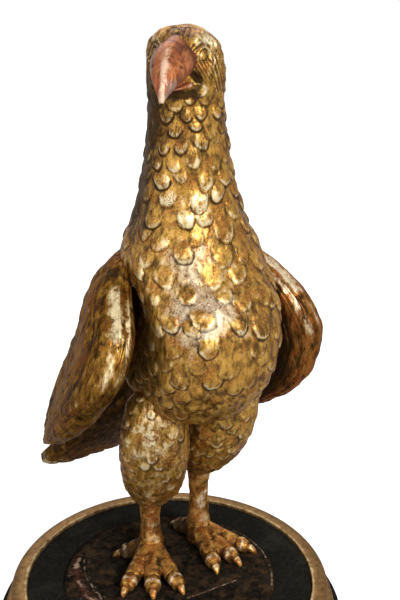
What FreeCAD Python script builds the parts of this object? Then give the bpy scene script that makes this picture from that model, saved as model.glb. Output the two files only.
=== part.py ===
"""A giltwood eagle that stands on a round ebonised base.

The carving is built from separate blocks, glued and dowelled together: torso, neck, head, two beak
halves, wings, tail, thighs, shanks and feet. Two iron rods run up through the base and the feet
into the thighs and are drawn tight by nuts in the underside. The base is turned: a core with rings
of moulding round it, a black top panel, a carved ground and a sheet of baize below.

Millimetres. +Z is up, the origin is the middle of the underside and the eagle faces -Y.
Sizes of the eagle are measured from the top of its ground, between its two shanks.
"""

import FreeCAD
import Part

import math
import os

Vector = FreeCAD.Vector

# The base, from the floor up
baize_thickness = 2.0
baize_margin = 3.0
foot_height = 42.0
foot_radius = 176.0
foot_top_inset = 11.0
plinth_height = 12.0
fillet_height = 4.0
fillet_inset = 8.0
frieze_height = 13.0
frieze_inset = 22.0
frieze_hollow = 4.0
rim_height = 11.0
rim_inset = 15.0
rim_width = 16.5
rim_drop = 2.5
core_inset = 40.0
panel_thickness = 7.0
panel_drop = 2.0
ground_radius = 107.0
ground_thickness = 6.0
ground_round = 2.5

# Where the eagle stands on its ground
stand_x = 27.5
stand_y = 36.0

# The legs
shank_spread = 29.0
right_shank_height = 71.0
left_shank_height = 90.0
shank_radius = 10.0
shank_tenon_radius = 9.0
shank_tenon_length = 12.0
ankle_height = 24.0
ankle_radius = 13.0
thigh_top_rise = 29.0
thigh_radius = 34.0
thigh_lean = 36.0
thigh_splay = 12.0
left_toe_length = 56.0
right_toe_length = 64.0
toe_radius = 8.5
toe_height = 16.0
talon_length = 19.0
talon_radius = 3.8
hallux_length = 30.0
toe_angles_share = (-0.27, 0.0, 0.27)
left_leg_turn_share = 0.11
right_leg_turn_share = 0.31
left_hallux_turn_share = 0.20
right_hallux_turn_share = -0.68

# The trunk, the neck and the head
belly_height = 183.0
shoulder_height = 341.0
chest_half_width = 64.0
chest_forward = 124.0
neck_top_height = 489.0
neck_back = 27.0
neck_radius = 34.0
head_height = 64.0
head_half_length = 38.0
head_turn_share = 0.49

# The beak
beak_reach = 80.0
beak_root = 22.0
beak_half_width = 20.0
beak_half_height = 17.5
beak_drop = 27.0
beak_level = 42.0
beak_ridge_share = 0.42
jaw_reach = 51.0
jaw_half_width = 19.0
jaw_half_height = 6.0
jaw_level = 20.0

# The wings, from shoulder to tip
wing_top_rise = 2.0
wing_tip_height = 98.0
wing_spread = 112.0
wing_forward = 66.0
wing_back = 120.0
wing_roll_radius = 21.0
wing_thickness = 12.0
wing_root_depth = 58.0
left_wing_lead = 35.0
left_wing_tuck = 1.0

# The tail
tail_root_rise = 23.0
tail_end_height = 56.0
tail_root_back = 16.0
tail_end_back = 144.0
tail_root_half_width = 30.0
tail_end_half_width = 84.0
tail_root_thickness = 34.0
tail_end_thickness = 14.0
tail_cup = 5.0

# Rods, dowels, screws and pins
rod_radius = 4.0
rod_into_thigh = 34.0
nut_width = 13.0
nut_height = 6.5
washer_radius = 11.0
washer_thickness = 2.0
pocket_radius = 13.0
pocket_depth = 16.0
rod_stub = 5.0
dowel_radius = 5.0
dowel_half_length = 18.0
small_dowel_radius = 3.0
small_dowel_half_length = 12.0
wing_dowel_reach = 46.0
wing_dowel_back = 4.0
wing_dowel_gap = 24.0
wing_dowel_drop = 23.0
thigh_dowel_rise = 9.0
tail_dowel_rise = 15.0
screw_radius = 2.2
screw_head_radius = 4.5
screw_head_height = 3.0
screw_pocket_depth = 30.0
screw_bite = 4.5
screw_circle = 80.0
screw_count = 4
pin_radius = 0.8
pin_length = 14.0
pin_count = 8
fit_gap = 0.1

# Heights and radii that follow from the sizes above
foot_top_radius = foot_radius - foot_top_inset
fillet_radius = foot_radius - fillet_inset
frieze_radius = foot_radius - frieze_inset
rim_radius = foot_radius - rim_inset
core_radius = foot_radius - core_inset
foot_top = baize_thickness + foot_height
fillet_top = foot_top + fillet_height
frieze_top = fillet_top + frieze_height
rim_top = frieze_top + rim_height
panel_top = rim_top - panel_drop
core_top = panel_top - panel_thickness
ground_top = panel_top + ground_thickness
rim_inner_radius = rim_radius - rim_width
thigh_top_height = belly_height + thigh_top_rise
tail_root_height = belly_height + tail_root_rise
thigh_dowel_height = belly_height + thigh_dowel_rise
tail_dowel_height = belly_height + tail_dowel_rise
wing_top_height = shoulder_height + wing_top_rise
wing_dowel_height = shoulder_height - wing_dowel_drop

# Shares of the trunk's sizes, from the belly up: height, half width, middle, front, back, and how
# pointed the rear half is: 1 is an ellipse, less is squarer
trunk_shares = (
    (0.000, 0.34, 0.30, 0.16, 0.26, 1.00),
    (0.055, 0.70, 0.37, 0.31, 0.38, 1.00),
    (0.140, 0.86, 0.45, 0.36, 0.60, 0.80),
    (0.350, 0.96, 0.58, 0.42, 0.86, 0.85),
    (0.570, 0.98, 0.65, 0.42, 0.93, 1.10),
    (0.780, 0.99, 0.62, 0.39, 0.88, 1.40),
    (0.930, 1.00, 0.47, 0.40, 0.72, 1.05),
    (1.000, 1.02, 0.34, 0.42, 0.62, 0.85),
)
# Shares up the neck: height, then how much of the shoulder's section is left
neck_shares = ((0.00, 1.00), (0.10, 0.90), (0.20, 0.68), (0.34, 0.43), (0.62, 0.15), (1.00, 0.00))
# Shares of the head: height, half width, middle and half length
head_shares = (
    (0.00, 1.00, 0.00, 0.89),
    (0.20, 1.02, 0.03, 0.96),
    (0.44, 1.02, 0.05, 1.00),
    (0.68, 0.94, 0.08, 0.97),
    (0.86, 0.74, 0.10, 0.82),
    (0.96, 0.40, 0.13, 0.52),
    (1.00, 0.10, 0.15, 0.16),
)
# Shares along each half of the beak: reach, drop, half width and half height
beak_shares = (
    (0.00, 0.00, 1.00, 1.00),
    (0.28, 0.02, 0.98, 0.98),
    (0.52, 0.15, 0.86, 0.83),
    (0.74, 0.40, 0.62, 0.56),
    (0.91, 0.72, 0.32, 0.28),
    (1.00, 1.00, 0.08, 0.08),
)
jaw_shares = (
    (0.00, 0.00, 1.00, 1.00),
    (0.40, 0.00, 0.82, 0.90),
    (0.80, 0.08, 0.45, 0.60),
    (1.00, 0.20, 0.14, 0.20),
)
# Shares down the wing: height, then how far out and back its rolled front edge lies and how thick
# that is, how far out and back its bend lies, how thick it is behind the roll, how far out and back
# its rear edge lies, and how deep its root is inside
wing_shares = (
    (0.000, 0.540, -0.21, 0.38, 0.530, 0.06, 0.80, 0.24, 0.200, 0.20),
    (0.070, 0.680, -0.41, 0.68, 0.740, 0.22, 1.10, 0.17, 0.280, 0.60),
    (0.150, 0.795, -0.78, 0.88, 0.875, 0.37, 1.10, 0.14, 0.350, 0.85),
    (0.240, 0.870, -0.92, 0.98, 0.920, 0.42, 1.05, 0.14, 0.420, 1.00),
    (0.330, 0.955, -0.94, 1.00, 0.940, 0.45, 1.00, 0.19, 0.500, 1.00),
    (0.420, 1.020, -0.83, 1.03, 0.960, 0.50, 0.95, 0.28, 0.600, 0.80),
    (0.510, 1.015, -0.51, 0.98, 0.960, 0.57, 0.90, 0.38, 0.710, 0.45),
    (0.590, 1.010, -0.24, 0.91, 0.965, 0.66, 0.85, 0.46, 0.790, 0.12),
    (0.680, 0.995, 0.09, 0.82, 0.950, 0.74, 0.80, 0.52, 0.850, 0.00),
    (0.795, 0.960, 0.56, 0.67, 0.930, 0.85, 0.70, 0.62, 0.920, 0.00),
    (0.925, 0.862, 1.34, 0.45, 0.850, 0.94, 0.55, 0.71, 0.975, 0.00),
    (1.000, 0.790, 1.74, 0.24, 0.790, 0.99, 0.30, 0.77, 1.000, 0.00),
)
# Where, down the left wing, it starts to stand further forward than the right, and where it has done so
lead_start_share = 0.37
lead_end_share = 0.65
# Places along a section of the wing, from the roll to the rear edge, where its sides have points
wing_way_shares = (0.00, 0.12, 0.26, 0.42, 0.58, 0.74, 0.88, 1.00)
# How far behind the roll the wing has thinned, as a share of the section
wing_thinned_share = 0.34
# Shares down the thigh, from its foot: height, radius, lean and splay
thigh_shares = (
    (0.000, 0.42, 0.08, 0.00),
    (0.050, 0.61, 0.16, 0.10),
    (0.160, 0.85, 0.32, 0.25),
    (0.320, 0.99, 0.54, 0.50),
    (0.530, 1.03, 0.78, 0.80),
    (0.730, 0.98, 0.92, 1.00),
    (0.910, 0.84, 1.00, 1.00),
    (1.000, 0.64, 1.00, 1.00),
)
# Shares down the tail: way down, width and thickness
tail_shares = (
    (0.00, 0.00, 0.00),
    (0.25, 0.18, 0.30),
    (0.55, 0.50, 0.62),
    (0.85, 0.88, 0.90),
    (1.00, 1.00, 1.00),
)
# How blunt the side edges of the tail are: 1 is an ellipse, less is squarer
tail_edge_share = 0.55
# Shares along a toe and along its talon: reach, height and radius
toe_shares = (
    (0.00, 1.00, 1.28),
    (0.28, 0.86, 1.14),
    (0.56, 0.64, 1.00),
    (0.80, 0.46, 0.98),
    (1.00, 0.38, 0.80),
)
talon_shares = ((0.00, 1.00, 1.00), (0.40, 0.95, 0.88), (0.75, 0.62, 0.58), (1.00, 0.20, 0.22))
# Points round a section, round half the roll of a wing, and rounds of fitting a curve to them
section_points = 16
roll_points = 5
fitting_rounds = 12


def span(low, high, share):
    """The value that lies a share of the way from low to high."""
    return low + (high - low) * share


def degrees_of(share):
    """A share of a right angle, in degrees."""
    return 90 * share


def side_sign(side):
    """+1 on the eagle's left and -1 on its right."""
    return 1.0 if side == "left" else -1.0


def through(ring):
    """The corners of a smooth closed curve that passes through a ring of points.

    The curve is at a sixth of its corners' sum, 1, 4 and 1, so the corners are moved until it fits."""
    corners = list(ring)
    for _ in range(fitting_rounds):
        sixths = [(corners[i - 2] + corners[i - 1] * 4 + corners[i]) / 6 for i in range(len(ring))]
        corners = [corners[i - 1] + ring[i - 1] - sixths[i] for i in range(len(ring))]
        corners = corners[1:] + corners[:1]
    return corners


def skin(rings):
    """A solid with one smooth side face round rings of points and a flat face at each end."""
    rows = [through(ring) for ring in rings]
    around, along = len(rows[0]), len(rows)
    degree = min(3, along - 1)
    end_knots = [1] * (along - degree - 1)
    surface = Part.BSplineSurface()
    surface.buildFromPolesMultsKnots(
        [[row[i] for row in rows] for i in range(around)],
        [1] * (around + 1),
        [degree + 1] + end_knots + [degree + 1],
        list(range(around + 1)),
        list(range(along - degree + 1)),
        True, False, 3, degree,
    )
    _, _, low, high = surface.bounds()
    faces = [surface.toShape()]
    faces += [Part.Face(Part.Wire(surface.vIso(end).toShape())) for end in (low, high)]
    shell = Part.makeShell(faces)
    shell.sewShape()
    solid = Part.Solid(shell)
    if solid.Volume < 0:
        solid.reverse()
    return solid


def turned(start, *steps):
    """A solid turned about the Z axis from a closed outline of (radius, height) points.

    Each step is a corner, or a pair of points that an arc passes through and ends at."""
    here = Vector(start[0], 0, start[1])
    first = here
    edges = []
    for step in steps:
        if isinstance(step[0], tuple):
            via, end = (Vector(radius, 0, height) for radius, height in step)
            edges.append(Part.Arc(here, via, end).toShape())
        else:
            end = Vector(step[0], 0, step[1])
            edges.append(Part.makeLine(here, end))
        here = end
    edges.append(Part.makeLine(here, first))
    return Part.Face(Part.Wire(edges)).revolve(Vector(0, 0, 0), Vector(0, 0, 1), 360)


def post(radius, x, y, low, high):
    """An upright cylinder from height low to height high."""
    return Part.makeCylinder(radius, high - low, Vector(x, y, low))


def peg(radius, middle, direction, half_length):
    """A cylinder centred on middle, along direction."""
    along = Vector(direction).normalize()
    return Part.makeCylinder(radius, 2 * half_length, middle - along * half_length, along)


def cut_all(shape, tools):
    """The shape, less every tool."""
    for tool in tools:
        shape = shape.cut(tool)
    return shape


def ring_of(count, radius):
    """Evenly spaced places on a circle: angle in degrees, x and y."""
    for i in range(count):
        angle = 360 * (i + 1 / 2) / count
        yield angle, radius * math.cos(math.radians(angle)), radius * math.sin(math.radians(angle))


def on_ground(shape):
    """The shape, moved from the eagle's own place onto the base."""
    moved = shape.copy()
    moved.translate(Vector(stand_x, stand_y, ground_top))
    return moved


def horn(stations, ridge=0.0):
    """A solid through ellipses across a curved path: stations of middle, half width and half height.

    The path lies in the YZ plane. Each ellipse stands square to the path there. Its lower half narrows
    to a keel by the share of its width that ridge gives."""
    rings = []
    for i, (middle, half_width, half_height) in enumerate(stations):
        before = stations[max(i - 1, 0)][0]
        after = stations[min(i + 1, len(stations) - 1)][0]
        along = (after - before).normalize()
        across = Vector(1, 0, 0)
        upward = across.cross(along)
        ring = []
        for k in range(section_points):
            turn = 2 * math.pi * k / section_points
            side_on = half_width * math.sin(turn) * (1 - ridge * max(math.cos(turn), 0))
            offset = across * side_on + upward * (half_height * math.cos(turn))
            ring.append(middle + offset)
        rings.append(ring)
    return skin(rings)


def egg_ring(height, half_width, middle, front, back, point=1.0):
    """A level section: round in front, drawn out behind, and there as pointed as the share says."""
    ring = []
    for k in range(section_points):
        turn = 2 * math.pi * k / section_points
        side, ahead = math.sin(turn), math.cos(turn)
        if ahead < 0:
            side = math.copysign(abs(side) ** point, side)
            ahead = -(abs(ahead) ** point)
        reach = front if ahead > 0 else back
        ring.append(Vector(half_width * side, middle - reach * ahead, height))
    return ring


def trunk_section(wide, mid, fore, rear, point):
    """Half width, middle, front, back and point of the trunk, from a row of shares."""
    return chest_half_width * wide, -chest_forward * mid, chest_forward * fore, chest_forward * rear, point


def torso_blank():
    """Chest, belly and back, without the sockets."""
    rings = []
    for up, *row in trunk_shares:
        rings.append(egg_ring(span(belly_height, shoulder_height, up), *trunk_section(*row)))
    return skin(rings)


def neck_blank():
    """The neck, from the shoulders to the head, without the sockets."""
    shoulder = trunk_section(*trunk_shares[-1][1:])
    top = (neck_radius, -neck_back, neck_radius, neck_radius, 1.0)
    rings = []
    for up, left in neck_shares:
        sizes = [span(above, below, left) for above, below in zip(top, shoulder)]
        rings.append(egg_ring(span(shoulder_height, neck_top_height, up), *sizes))
    return skin(rings)


def turned_head(shape):
    """The shape, turned as the head is on the neck and set over it."""
    moved = shape.copy()
    moved.rotate(Vector(0, 0, 0), Vector(0, 0, 1), -degrees_of(head_turn_share))
    moved.translate(Vector(0, -neck_back, neck_top_height))
    return moved


def head_blank():
    """The skull, without the sockets."""
    rings = []
    for up, wide, mid, long in head_shares:
        length = head_half_length * long
        rings.append(egg_ring(head_height * up, neck_radius * wide, -head_half_length * mid, length, length))
    return turned_head(skin(rings))


def beak_half(shares, reach, drop, level, half_width, half_height, ridge=0.0):
    """Half a beak: a horn that starts in the skull and curves down."""
    stations = []
    for out, down, wide, high in shares:
        middle = Vector(0, -span(beak_root, reach, out), level - drop * down)
        stations.append((middle, half_width * wide, half_height * high))
    return turned_head(horn(stations, ridge))


def upper_beak_blank():
    """The hooked upper half of the beak."""
    sizes = (beak_reach, beak_drop, beak_level, beak_half_width, beak_half_height)
    return beak_half(beak_shares, *sizes, beak_ridge_share)


def lower_beak_blank():
    """The lower half of the beak."""
    return beak_half(jaw_shares, jaw_reach, jaw_half_height, jaw_level, jaw_half_width, jaw_half_height)


def wing_ring(row, side):
    """A level section of the wing: a roll in front, a bend round the flank and a thin rear edge.

    Its middle line is a curve from the roll's middle past the bend to the rear edge. Low down, the
    left wing stands further forward and closer in than the right."""
    down, nose_out, nose_back, nose_size, bend_out, bend_back, thin, rear_out, rear_back, root = row
    height = span(wing_top_height, wing_tip_height, down)
    nose = Vector(wing_spread * nose_out, wing_forward * nose_back, height)
    bend = Vector(wing_spread * bend_out, wing_back * bend_back, height)
    rear = Vector(wing_spread * rear_out, wing_back * rear_back, height)
    roll = wing_roll_radius * nose_size
    half = wing_thickness * thin / 2
    outer, inner = [], []
    for way in wing_way_shares:
        place = nose * (1 - way) ** 2 + bend * (2 * way * (1 - way)) + rear * way ** 2
        along = ((bend - nose) * (1 - way) + (rear - bend) * way).normalize()
        out = Vector(along.y, -along.x, 0)
        left = 1 - min(way / wing_thinned_share, 1)
        thick = span(half, roll, left * left * (3 - 2 * left)) * span(1, 1 / 2, way ** 3)
        depth = wing_root_depth * root * math.sin(math.pi * way) ** 2
        outer.append(place + out * thick)
        inner.append(place - out * (thick + depth))
    front = (bend - nose).normalize() * -1
    across = Vector(-front.y, front.x, 0)
    cap = []
    for k in range(roll_points):
        turn = math.pi * (k + 1) / (roll_points + 1)
        cap.append(nose + front * (roll * math.sin(turn)) + across * (-roll * math.cos(turn)))
    end = rear + (rear - bend).normalize() * (half / 2)
    ring = cap + outer + [end] + inner[::-1]
    if side == "left":
        lead = min(max((down - lead_start_share) / (lead_end_share - lead_start_share), 0), 1)
        lead = lead * lead * (3 - 2 * lead)
        ring = [place - Vector(left_wing_tuck * lead, left_wing_lead * lead, 0) for place in ring]
    return [Vector(side_sign(side) * place.x, place.y, height) for place in ring]


def wing_blank(side):
    """One wing, without its sockets."""
    return skin([wing_ring(row, side) for row in wing_shares])


def tail_blank():
    """The tail: a fan that hangs behind, cupped so that its corners stand further back."""
    root = Vector(0, tail_root_back, tail_root_height)
    end = Vector(0, tail_end_back, tail_end_height)
    along = (end - root).normalize()
    behind = Vector(1, 0, 0).cross(along)
    rings = []
    for down, wide, thin in tail_shares:
        middle = root + (end - root) * down
        half_width = span(tail_root_half_width, tail_end_half_width, wide)
        half_thickness = span(tail_root_thickness, tail_end_thickness, thin) / 2
        ring = []
        for k in range(section_points):
            turn = 2 * math.pi * k / section_points
            x = half_width * math.sin(turn)
            cup = tail_cup * (x / tail_end_half_width) ** 2
            depth = half_thickness * math.copysign(abs(math.cos(turn)) ** tail_edge_share, math.cos(turn))
            ring.append(middle + Vector(x, 0, 0) + behind * (depth + cup))
        rings.append(ring)
    return skin(rings)


def leg_turn(side):
    """The angle, in degrees, by which a foot faces outwards."""
    return degrees_of(left_leg_turn_share if side == "left" else right_leg_turn_share)


def hallux_turn(side):
    """The angle, in degrees, by which a hind toe points away from straight back."""
    return degrees_of(left_hallux_turn_share if side == "left" else right_hallux_turn_share)


def toe_length(side):
    """The length of a front toe, from the middle of the foot to its talon."""
    return left_toe_length if side == "left" else right_toe_length


def shank_height(side):
    """The height of the top of a shank, where the thigh starts."""
    return left_shank_height if side == "left" else right_shank_height


def leg_place(side, forward, outward, height):
    """A point on a leg: forward and outward of the shank."""
    return Vector(side_sign(side) * (shank_spread + outward), -forward, height)


def thigh_blank(side):
    """One feathered thigh, which leans forward from the shank up."""
    rings = []
    for up, size, lean, splay in thigh_shares:
        height = span(shank_height(side), thigh_top_height, up)
        middle = leg_place(side, thigh_lean * lean, thigh_splay * splay, height)
        ring = []
        for k in range(section_points):
            turn = 2 * math.pi * k / section_points
            ring.append(middle + Vector(math.sin(turn), -math.cos(turn), 0) * (thigh_radius * size))
        rings.append(ring)
    return skin(rings)


def rod_column(side, radius, low, high):
    """An upright cylinder on the line of one leg's rod, between heights above the ground."""
    place = leg_place(side, 0, 0, 0)
    return post(radius, place.x, place.y, low, high)


def rod_hole(side):
    """The hole that the rod passes through, long enough for every piece."""
    top = shank_height(side) + rod_into_thigh + fit_gap
    return rod_column(side, rod_radius + fit_gap, -ground_top, top)


def rod_holes():
    """Both rods' holes, on the base."""
    return [on_ground(rod_hole(side)) for side in ("left", "right")]


def toe(side, turn, reach):
    """One toe with its talon, from the middle of the foot outwards."""
    stem = [(Vector(0, -reach * out, toe_height * high), toe_radius * size, toe_radius * size)
            for out, high, size in toe_shares]
    end = stem[-1][0]
    tip = []
    for out, high, size in talon_shares:
        middle = Vector(0, end.y + talon_radius - talon_length * out, end.z * high)
        tip.append((middle, talon_radius * size, talon_radius * size))
    both = horn(stem).fuse(horn(tip))
    both.rotate(Vector(0, 0, 0), Vector(0, 0, 1), turn)
    both.translate(leg_place(side, 0, 0, 0))
    return both


def foot(side):
    """A foot: three toes in front and one behind, round the end of the shank."""
    sign = side_sign(side)
    place = leg_place(side, 0, 0, 0)
    solid = post(ankle_radius, place.x, place.y, 0, ankle_height)
    for share in toe_angles_share:
        solid = solid.fuse(toe(side, sign * leg_turn(side) + degrees_of(share), toe_length(side)))
    solid = solid.fuse(toe(side, 180 + sign * hallux_turn(side), hallux_length))
    far = 2 * (toe_length(side) + talon_length)
    below = Part.makeBox(2 * far, 2 * far, far, Vector(place.x - far, place.y - far, -far))
    above = Part.makeBox(2 * far, 2 * far, far, Vector(place.x - far, place.y - far, ankle_height))
    return on_ground(cut_all(solid, [below, above, rod_hole(side)]))


def shank(side):
    """The bare lower leg, with a tenon up into the thigh."""
    top = shank_height(side)
    column = turned(
        (0, ankle_height),
        (ankle_radius, ankle_height),
        ((shank_radius, span(ankle_height, top, 1 / 2)), (ankle_radius, top)),
        (shank_tenon_radius, top),
        (shank_tenon_radius, top + shank_tenon_length),
        (0, top + shank_tenon_length),
    )
    column.translate(leg_place(side, 0, 0, 0))
    return on_ground(column.cut(rod_hole(side)))


def thigh(side):
    """A thigh, let over its shank's tenon and fitted under the belly."""
    low = shank_height(side)
    socket = rod_column(side, shank_tenon_radius + fit_gap, low, low + shank_tenon_length + fit_gap)
    tools = [torso_blank(), socket, rod_hole(side), thigh_dowel(side, fit_gap)]
    return on_ground(cut_all(thigh_blank(side), tools))


def wing_dowels(side, gap):
    """Two dowels that carry a wing on the torso, wider and longer by gap for their holes."""
    pegs = []
    for way in (-1, 1):
        back = wing_dowel_back + way * wing_dowel_gap / 2
        middle = Vector(side_sign(side) * wing_dowel_reach, back, wing_dowel_height)
        pegs.append(peg(dowel_radius + gap, middle, Vector(1, 0, 0), dowel_half_length + gap))
    return pegs


def thigh_dowel(side, gap):
    """The dowel between torso and thigh, wider and longer by gap for its hole."""
    middle = leg_place(side, thigh_lean, thigh_splay, thigh_dowel_height)
    return peg(small_dowel_radius + gap, middle, Vector(0, 0, 1), small_dowel_half_length + gap)


def tail_dowels(gap):
    """Two dowels between torso and tail, wider and longer by gap for their holes."""
    pegs = []
    for sign in (-1, 1):
        middle = Vector(sign * tail_root_half_width / 2, tail_root_back, tail_dowel_height)
        pegs.append(peg(small_dowel_radius + gap, middle, Vector(0, 1, 0), small_dowel_half_length + gap))
    return pegs


def neck_dowel(height, gap):
    """An upright dowel across a joint of the neck, wider and longer by gap for its hole."""
    return peg(dowel_radius + gap, Vector(0, -neck_back, height), Vector(0, 0, 1), dowel_half_length + gap)


def beak_dowel(level, gap):
    """A level dowel between skull and beak, wider and longer by gap for its hole."""
    middle = Vector(0, -beak_root, level)
    return turned_head(peg(small_dowel_radius + gap, middle, Vector(0, 1, 0), small_dowel_half_length + gap))


def torso():
    """The trunk, with the sockets of all that is dowelled to it."""
    tools = [neck_dowel(shoulder_height, fit_gap)] + tail_dowels(fit_gap)
    for side in ("left", "right"):
        tools += wing_dowels(side, fit_gap) + [thigh_dowel(side, fit_gap)]
    return on_ground(cut_all(torso_blank(), tools))


def neck():
    """The neck, with a socket at each end."""
    tools = [neck_dowel(shoulder_height, fit_gap), neck_dowel(neck_top_height, fit_gap)]
    return on_ground(cut_all(neck_blank(), tools))


def head():
    """The skull, let round the roots of both halves of the beak."""
    tools = [upper_beak_blank(), lower_beak_blank(), neck_dowel(neck_top_height, fit_gap)]
    tools += [beak_dowel(beak_level, fit_gap), beak_dowel(jaw_level, fit_gap)]
    return on_ground(cut_all(head_blank(), tools))


def upper_beak():
    """The hooked upper half of the beak, with its dowel's socket."""
    return on_ground(upper_beak_blank().cut(beak_dowel(beak_level, fit_gap)))


def lower_beak():
    """The lower half of the beak, which closes under the upper half, with its dowel's socket."""
    return on_ground(cut_all(lower_beak_blank(), [upper_beak_blank(), beak_dowel(jaw_level, fit_gap)]))


def wing(side):
    """A wing, fitted to the trunk and the neck."""
    tools = [torso_blank(), neck_blank()] + wing_dowels(side, fit_gap)
    return on_ground(cut_all(wing_blank(side), tools))


def tail():
    """The tail, fitted to the trunk."""
    return on_ground(cut_all(tail_blank(), [torso_blank()] + tail_dowels(fit_gap)))


def leg_rod(side):
    """The iron rod of one leg, from its nut pocket to the middle of the thigh."""
    low = baize_thickness + pocket_depth - nut_height - washer_thickness - rod_stub
    return on_ground(rod_column(side, rod_radius, low - ground_top, shank_height(side) + rod_into_thigh))


def rod_washer(side):
    """The washer at the top of one nut pocket."""
    top = baize_thickness + pocket_depth - ground_top
    ring = rod_column(side, washer_radius, top - washer_thickness, top)
    return on_ground(ring.cut(rod_hole(side)))


def rod_nut(side):
    """The hexagonal nut under one washer."""
    place = leg_place(side, 0, 0, 0)
    top = baize_thickness + pocket_depth - ground_top - washer_thickness
    corner = nut_width / math.sqrt(3)
    corners = []
    for k in range(6):
        turn = math.pi * k / 3
        corners.append(place + Vector(corner * math.cos(turn), corner * math.sin(turn), top - nut_height))
    blank = Part.Face(Part.makePolygon(corners + corners[:1])).extrude(Vector(0, 0, nut_height))
    return on_ground(blank.cut(rod_hole(side)))


def nut_pocket(side):
    """The round pocket in the underside for one nut and washer."""
    bottom = baize_thickness - ground_top
    return on_ground(rod_column(side, pocket_radius, bottom, bottom + pocket_depth))


def ground_screw(x, y, gap):
    """A screw up into the carved ground, wider and longer by gap for its hole."""
    seat = baize_thickness + screw_pocket_depth
    body = post(screw_radius + gap, x, y, seat, panel_top + screw_bite + gap)
    return body.fuse(post(screw_head_radius + gap, x, y, seat - gap, seat + screw_head_height))


def ground_screws(gap):
    """All the screws of the carved ground."""
    return [ground_screw(x, y, gap) for _, x, y in ring_of(screw_count, screw_circle)]


def screw_pockets():
    """The deep round pockets that the screws' heads sit at the top of."""
    top = baize_thickness + screw_pocket_depth
    return [post(screw_head_radius + fit_gap, x, y, baize_thickness, top)
            for _, x, y in ring_of(screw_count, screw_circle)]


def rim_pins(gap):
    """The pins that hold the rim to the core, wider and longer by gap for their holes."""
    height = span(frieze_top, core_top, 1 / 2)
    pegs = []
    for angle, x, y in ring_of(pin_count, core_radius):
        pegs.append(peg(pin_radius + gap, Vector(x, y, height), Vector(x, y, 0), pin_length / 2 + gap))
    return pegs


def base_core():
    """The turned disc that carries everything, with pockets for nuts and screws."""
    disc = post(core_radius, 0, 0, baize_thickness, core_top)
    pockets = [nut_pocket(side) for side in ("left", "right")] + screw_pockets()
    return cut_all(disc, rod_holes() + pockets + ground_screws(fit_gap) + rim_pins(fit_gap))


def foot_moulding():
    """The ebonised moulding round the foot of the core: a plinth with a swelling above."""
    inner = core_radius
    shoulder = baize_thickness + plinth_height
    bulge = (span(foot_top_radius, foot_radius, 3 / 4), span(shoulder, foot_top, 2 / 3))
    return turned(
        (inner, baize_thickness),
        (foot_radius, baize_thickness),
        (foot_radius, shoulder),
        (bulge, (foot_top_radius, foot_top)),
        (inner, foot_top),
    )


def gilt_fillet():
    """The thin gilt line on top of the foot moulding: half round outside."""
    half = fillet_height / 2
    return turned(
        (core_radius, foot_top),
        (fillet_radius - half, foot_top),
        ((fillet_radius, foot_top + half), (fillet_radius - half, fillet_top)),
        (core_radius, fillet_top),
    )


def frieze_ring():
    """The hollowed ebonised band under the rim."""
    middle = span(fillet_top, frieze_top, 1 / 2)
    return turned(
        (core_radius, fillet_top),
        (frieze_radius, fillet_top),
        ((frieze_radius - frieze_hollow, middle), (frieze_radius, frieze_top)),
        (core_radius, frieze_top),
    )


def gilt_rim():
    """The rounded gilt rim, rebated inside for the top panel."""
    swell = (span(rim_inner_radius, rim_radius, 2 / 3), rim_top)
    nose = span(frieze_top, rim_top, 1 / 2)
    solid = turned(
        (core_radius, frieze_top),
        (frieze_radius, frieze_top),
        ((rim_radius, nose), (span(rim_radius, rim_inner_radius, 1 / 5), rim_top - rim_drop / 2)),
        (swell, (rim_inner_radius, rim_top - rim_drop / 5)),
        (rim_inner_radius, core_top),
        (core_radius, core_top),
    )
    return cut_all(solid, rim_pins(fit_gap))


def top_panel():
    """The black panel inside the rim."""
    disc = post(rim_inner_radius - fit_gap, 0, 0, core_top, panel_top)
    return cut_all(disc, rod_holes() + ground_screws(fit_gap))


def carved_ground():
    """The low disc that the eagle stands on, with a rounded edge."""
    bite = ground_round * (1 - math.sqrt(1 / 2))
    disc = turned(
        (0, panel_top),
        (ground_radius, panel_top),
        (ground_radius, ground_top - ground_round),
        ((ground_radius - bite, ground_top - bite), (ground_radius - ground_round, ground_top)),
        (0, ground_top),
    )
    return cut_all(disc, rod_holes() + ground_screws(fit_gap))


def baize_sheet():
    """The cloth under the base, which the whole object rests on."""
    return post(foot_radius - baize_margin, 0, 0, 0, baize_thickness)


def write(name, *solids):
    """Write one node from its solids."""
    shape = solids[0] if len(solids) == 1 else Part.makeCompound(list(solids))
    shape.exportStep("parts/" + name + ".step")
    print(name, "solids", len(shape.Solids), "valid", shape.isValid(), "volume", round(shape.Volume))


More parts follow.
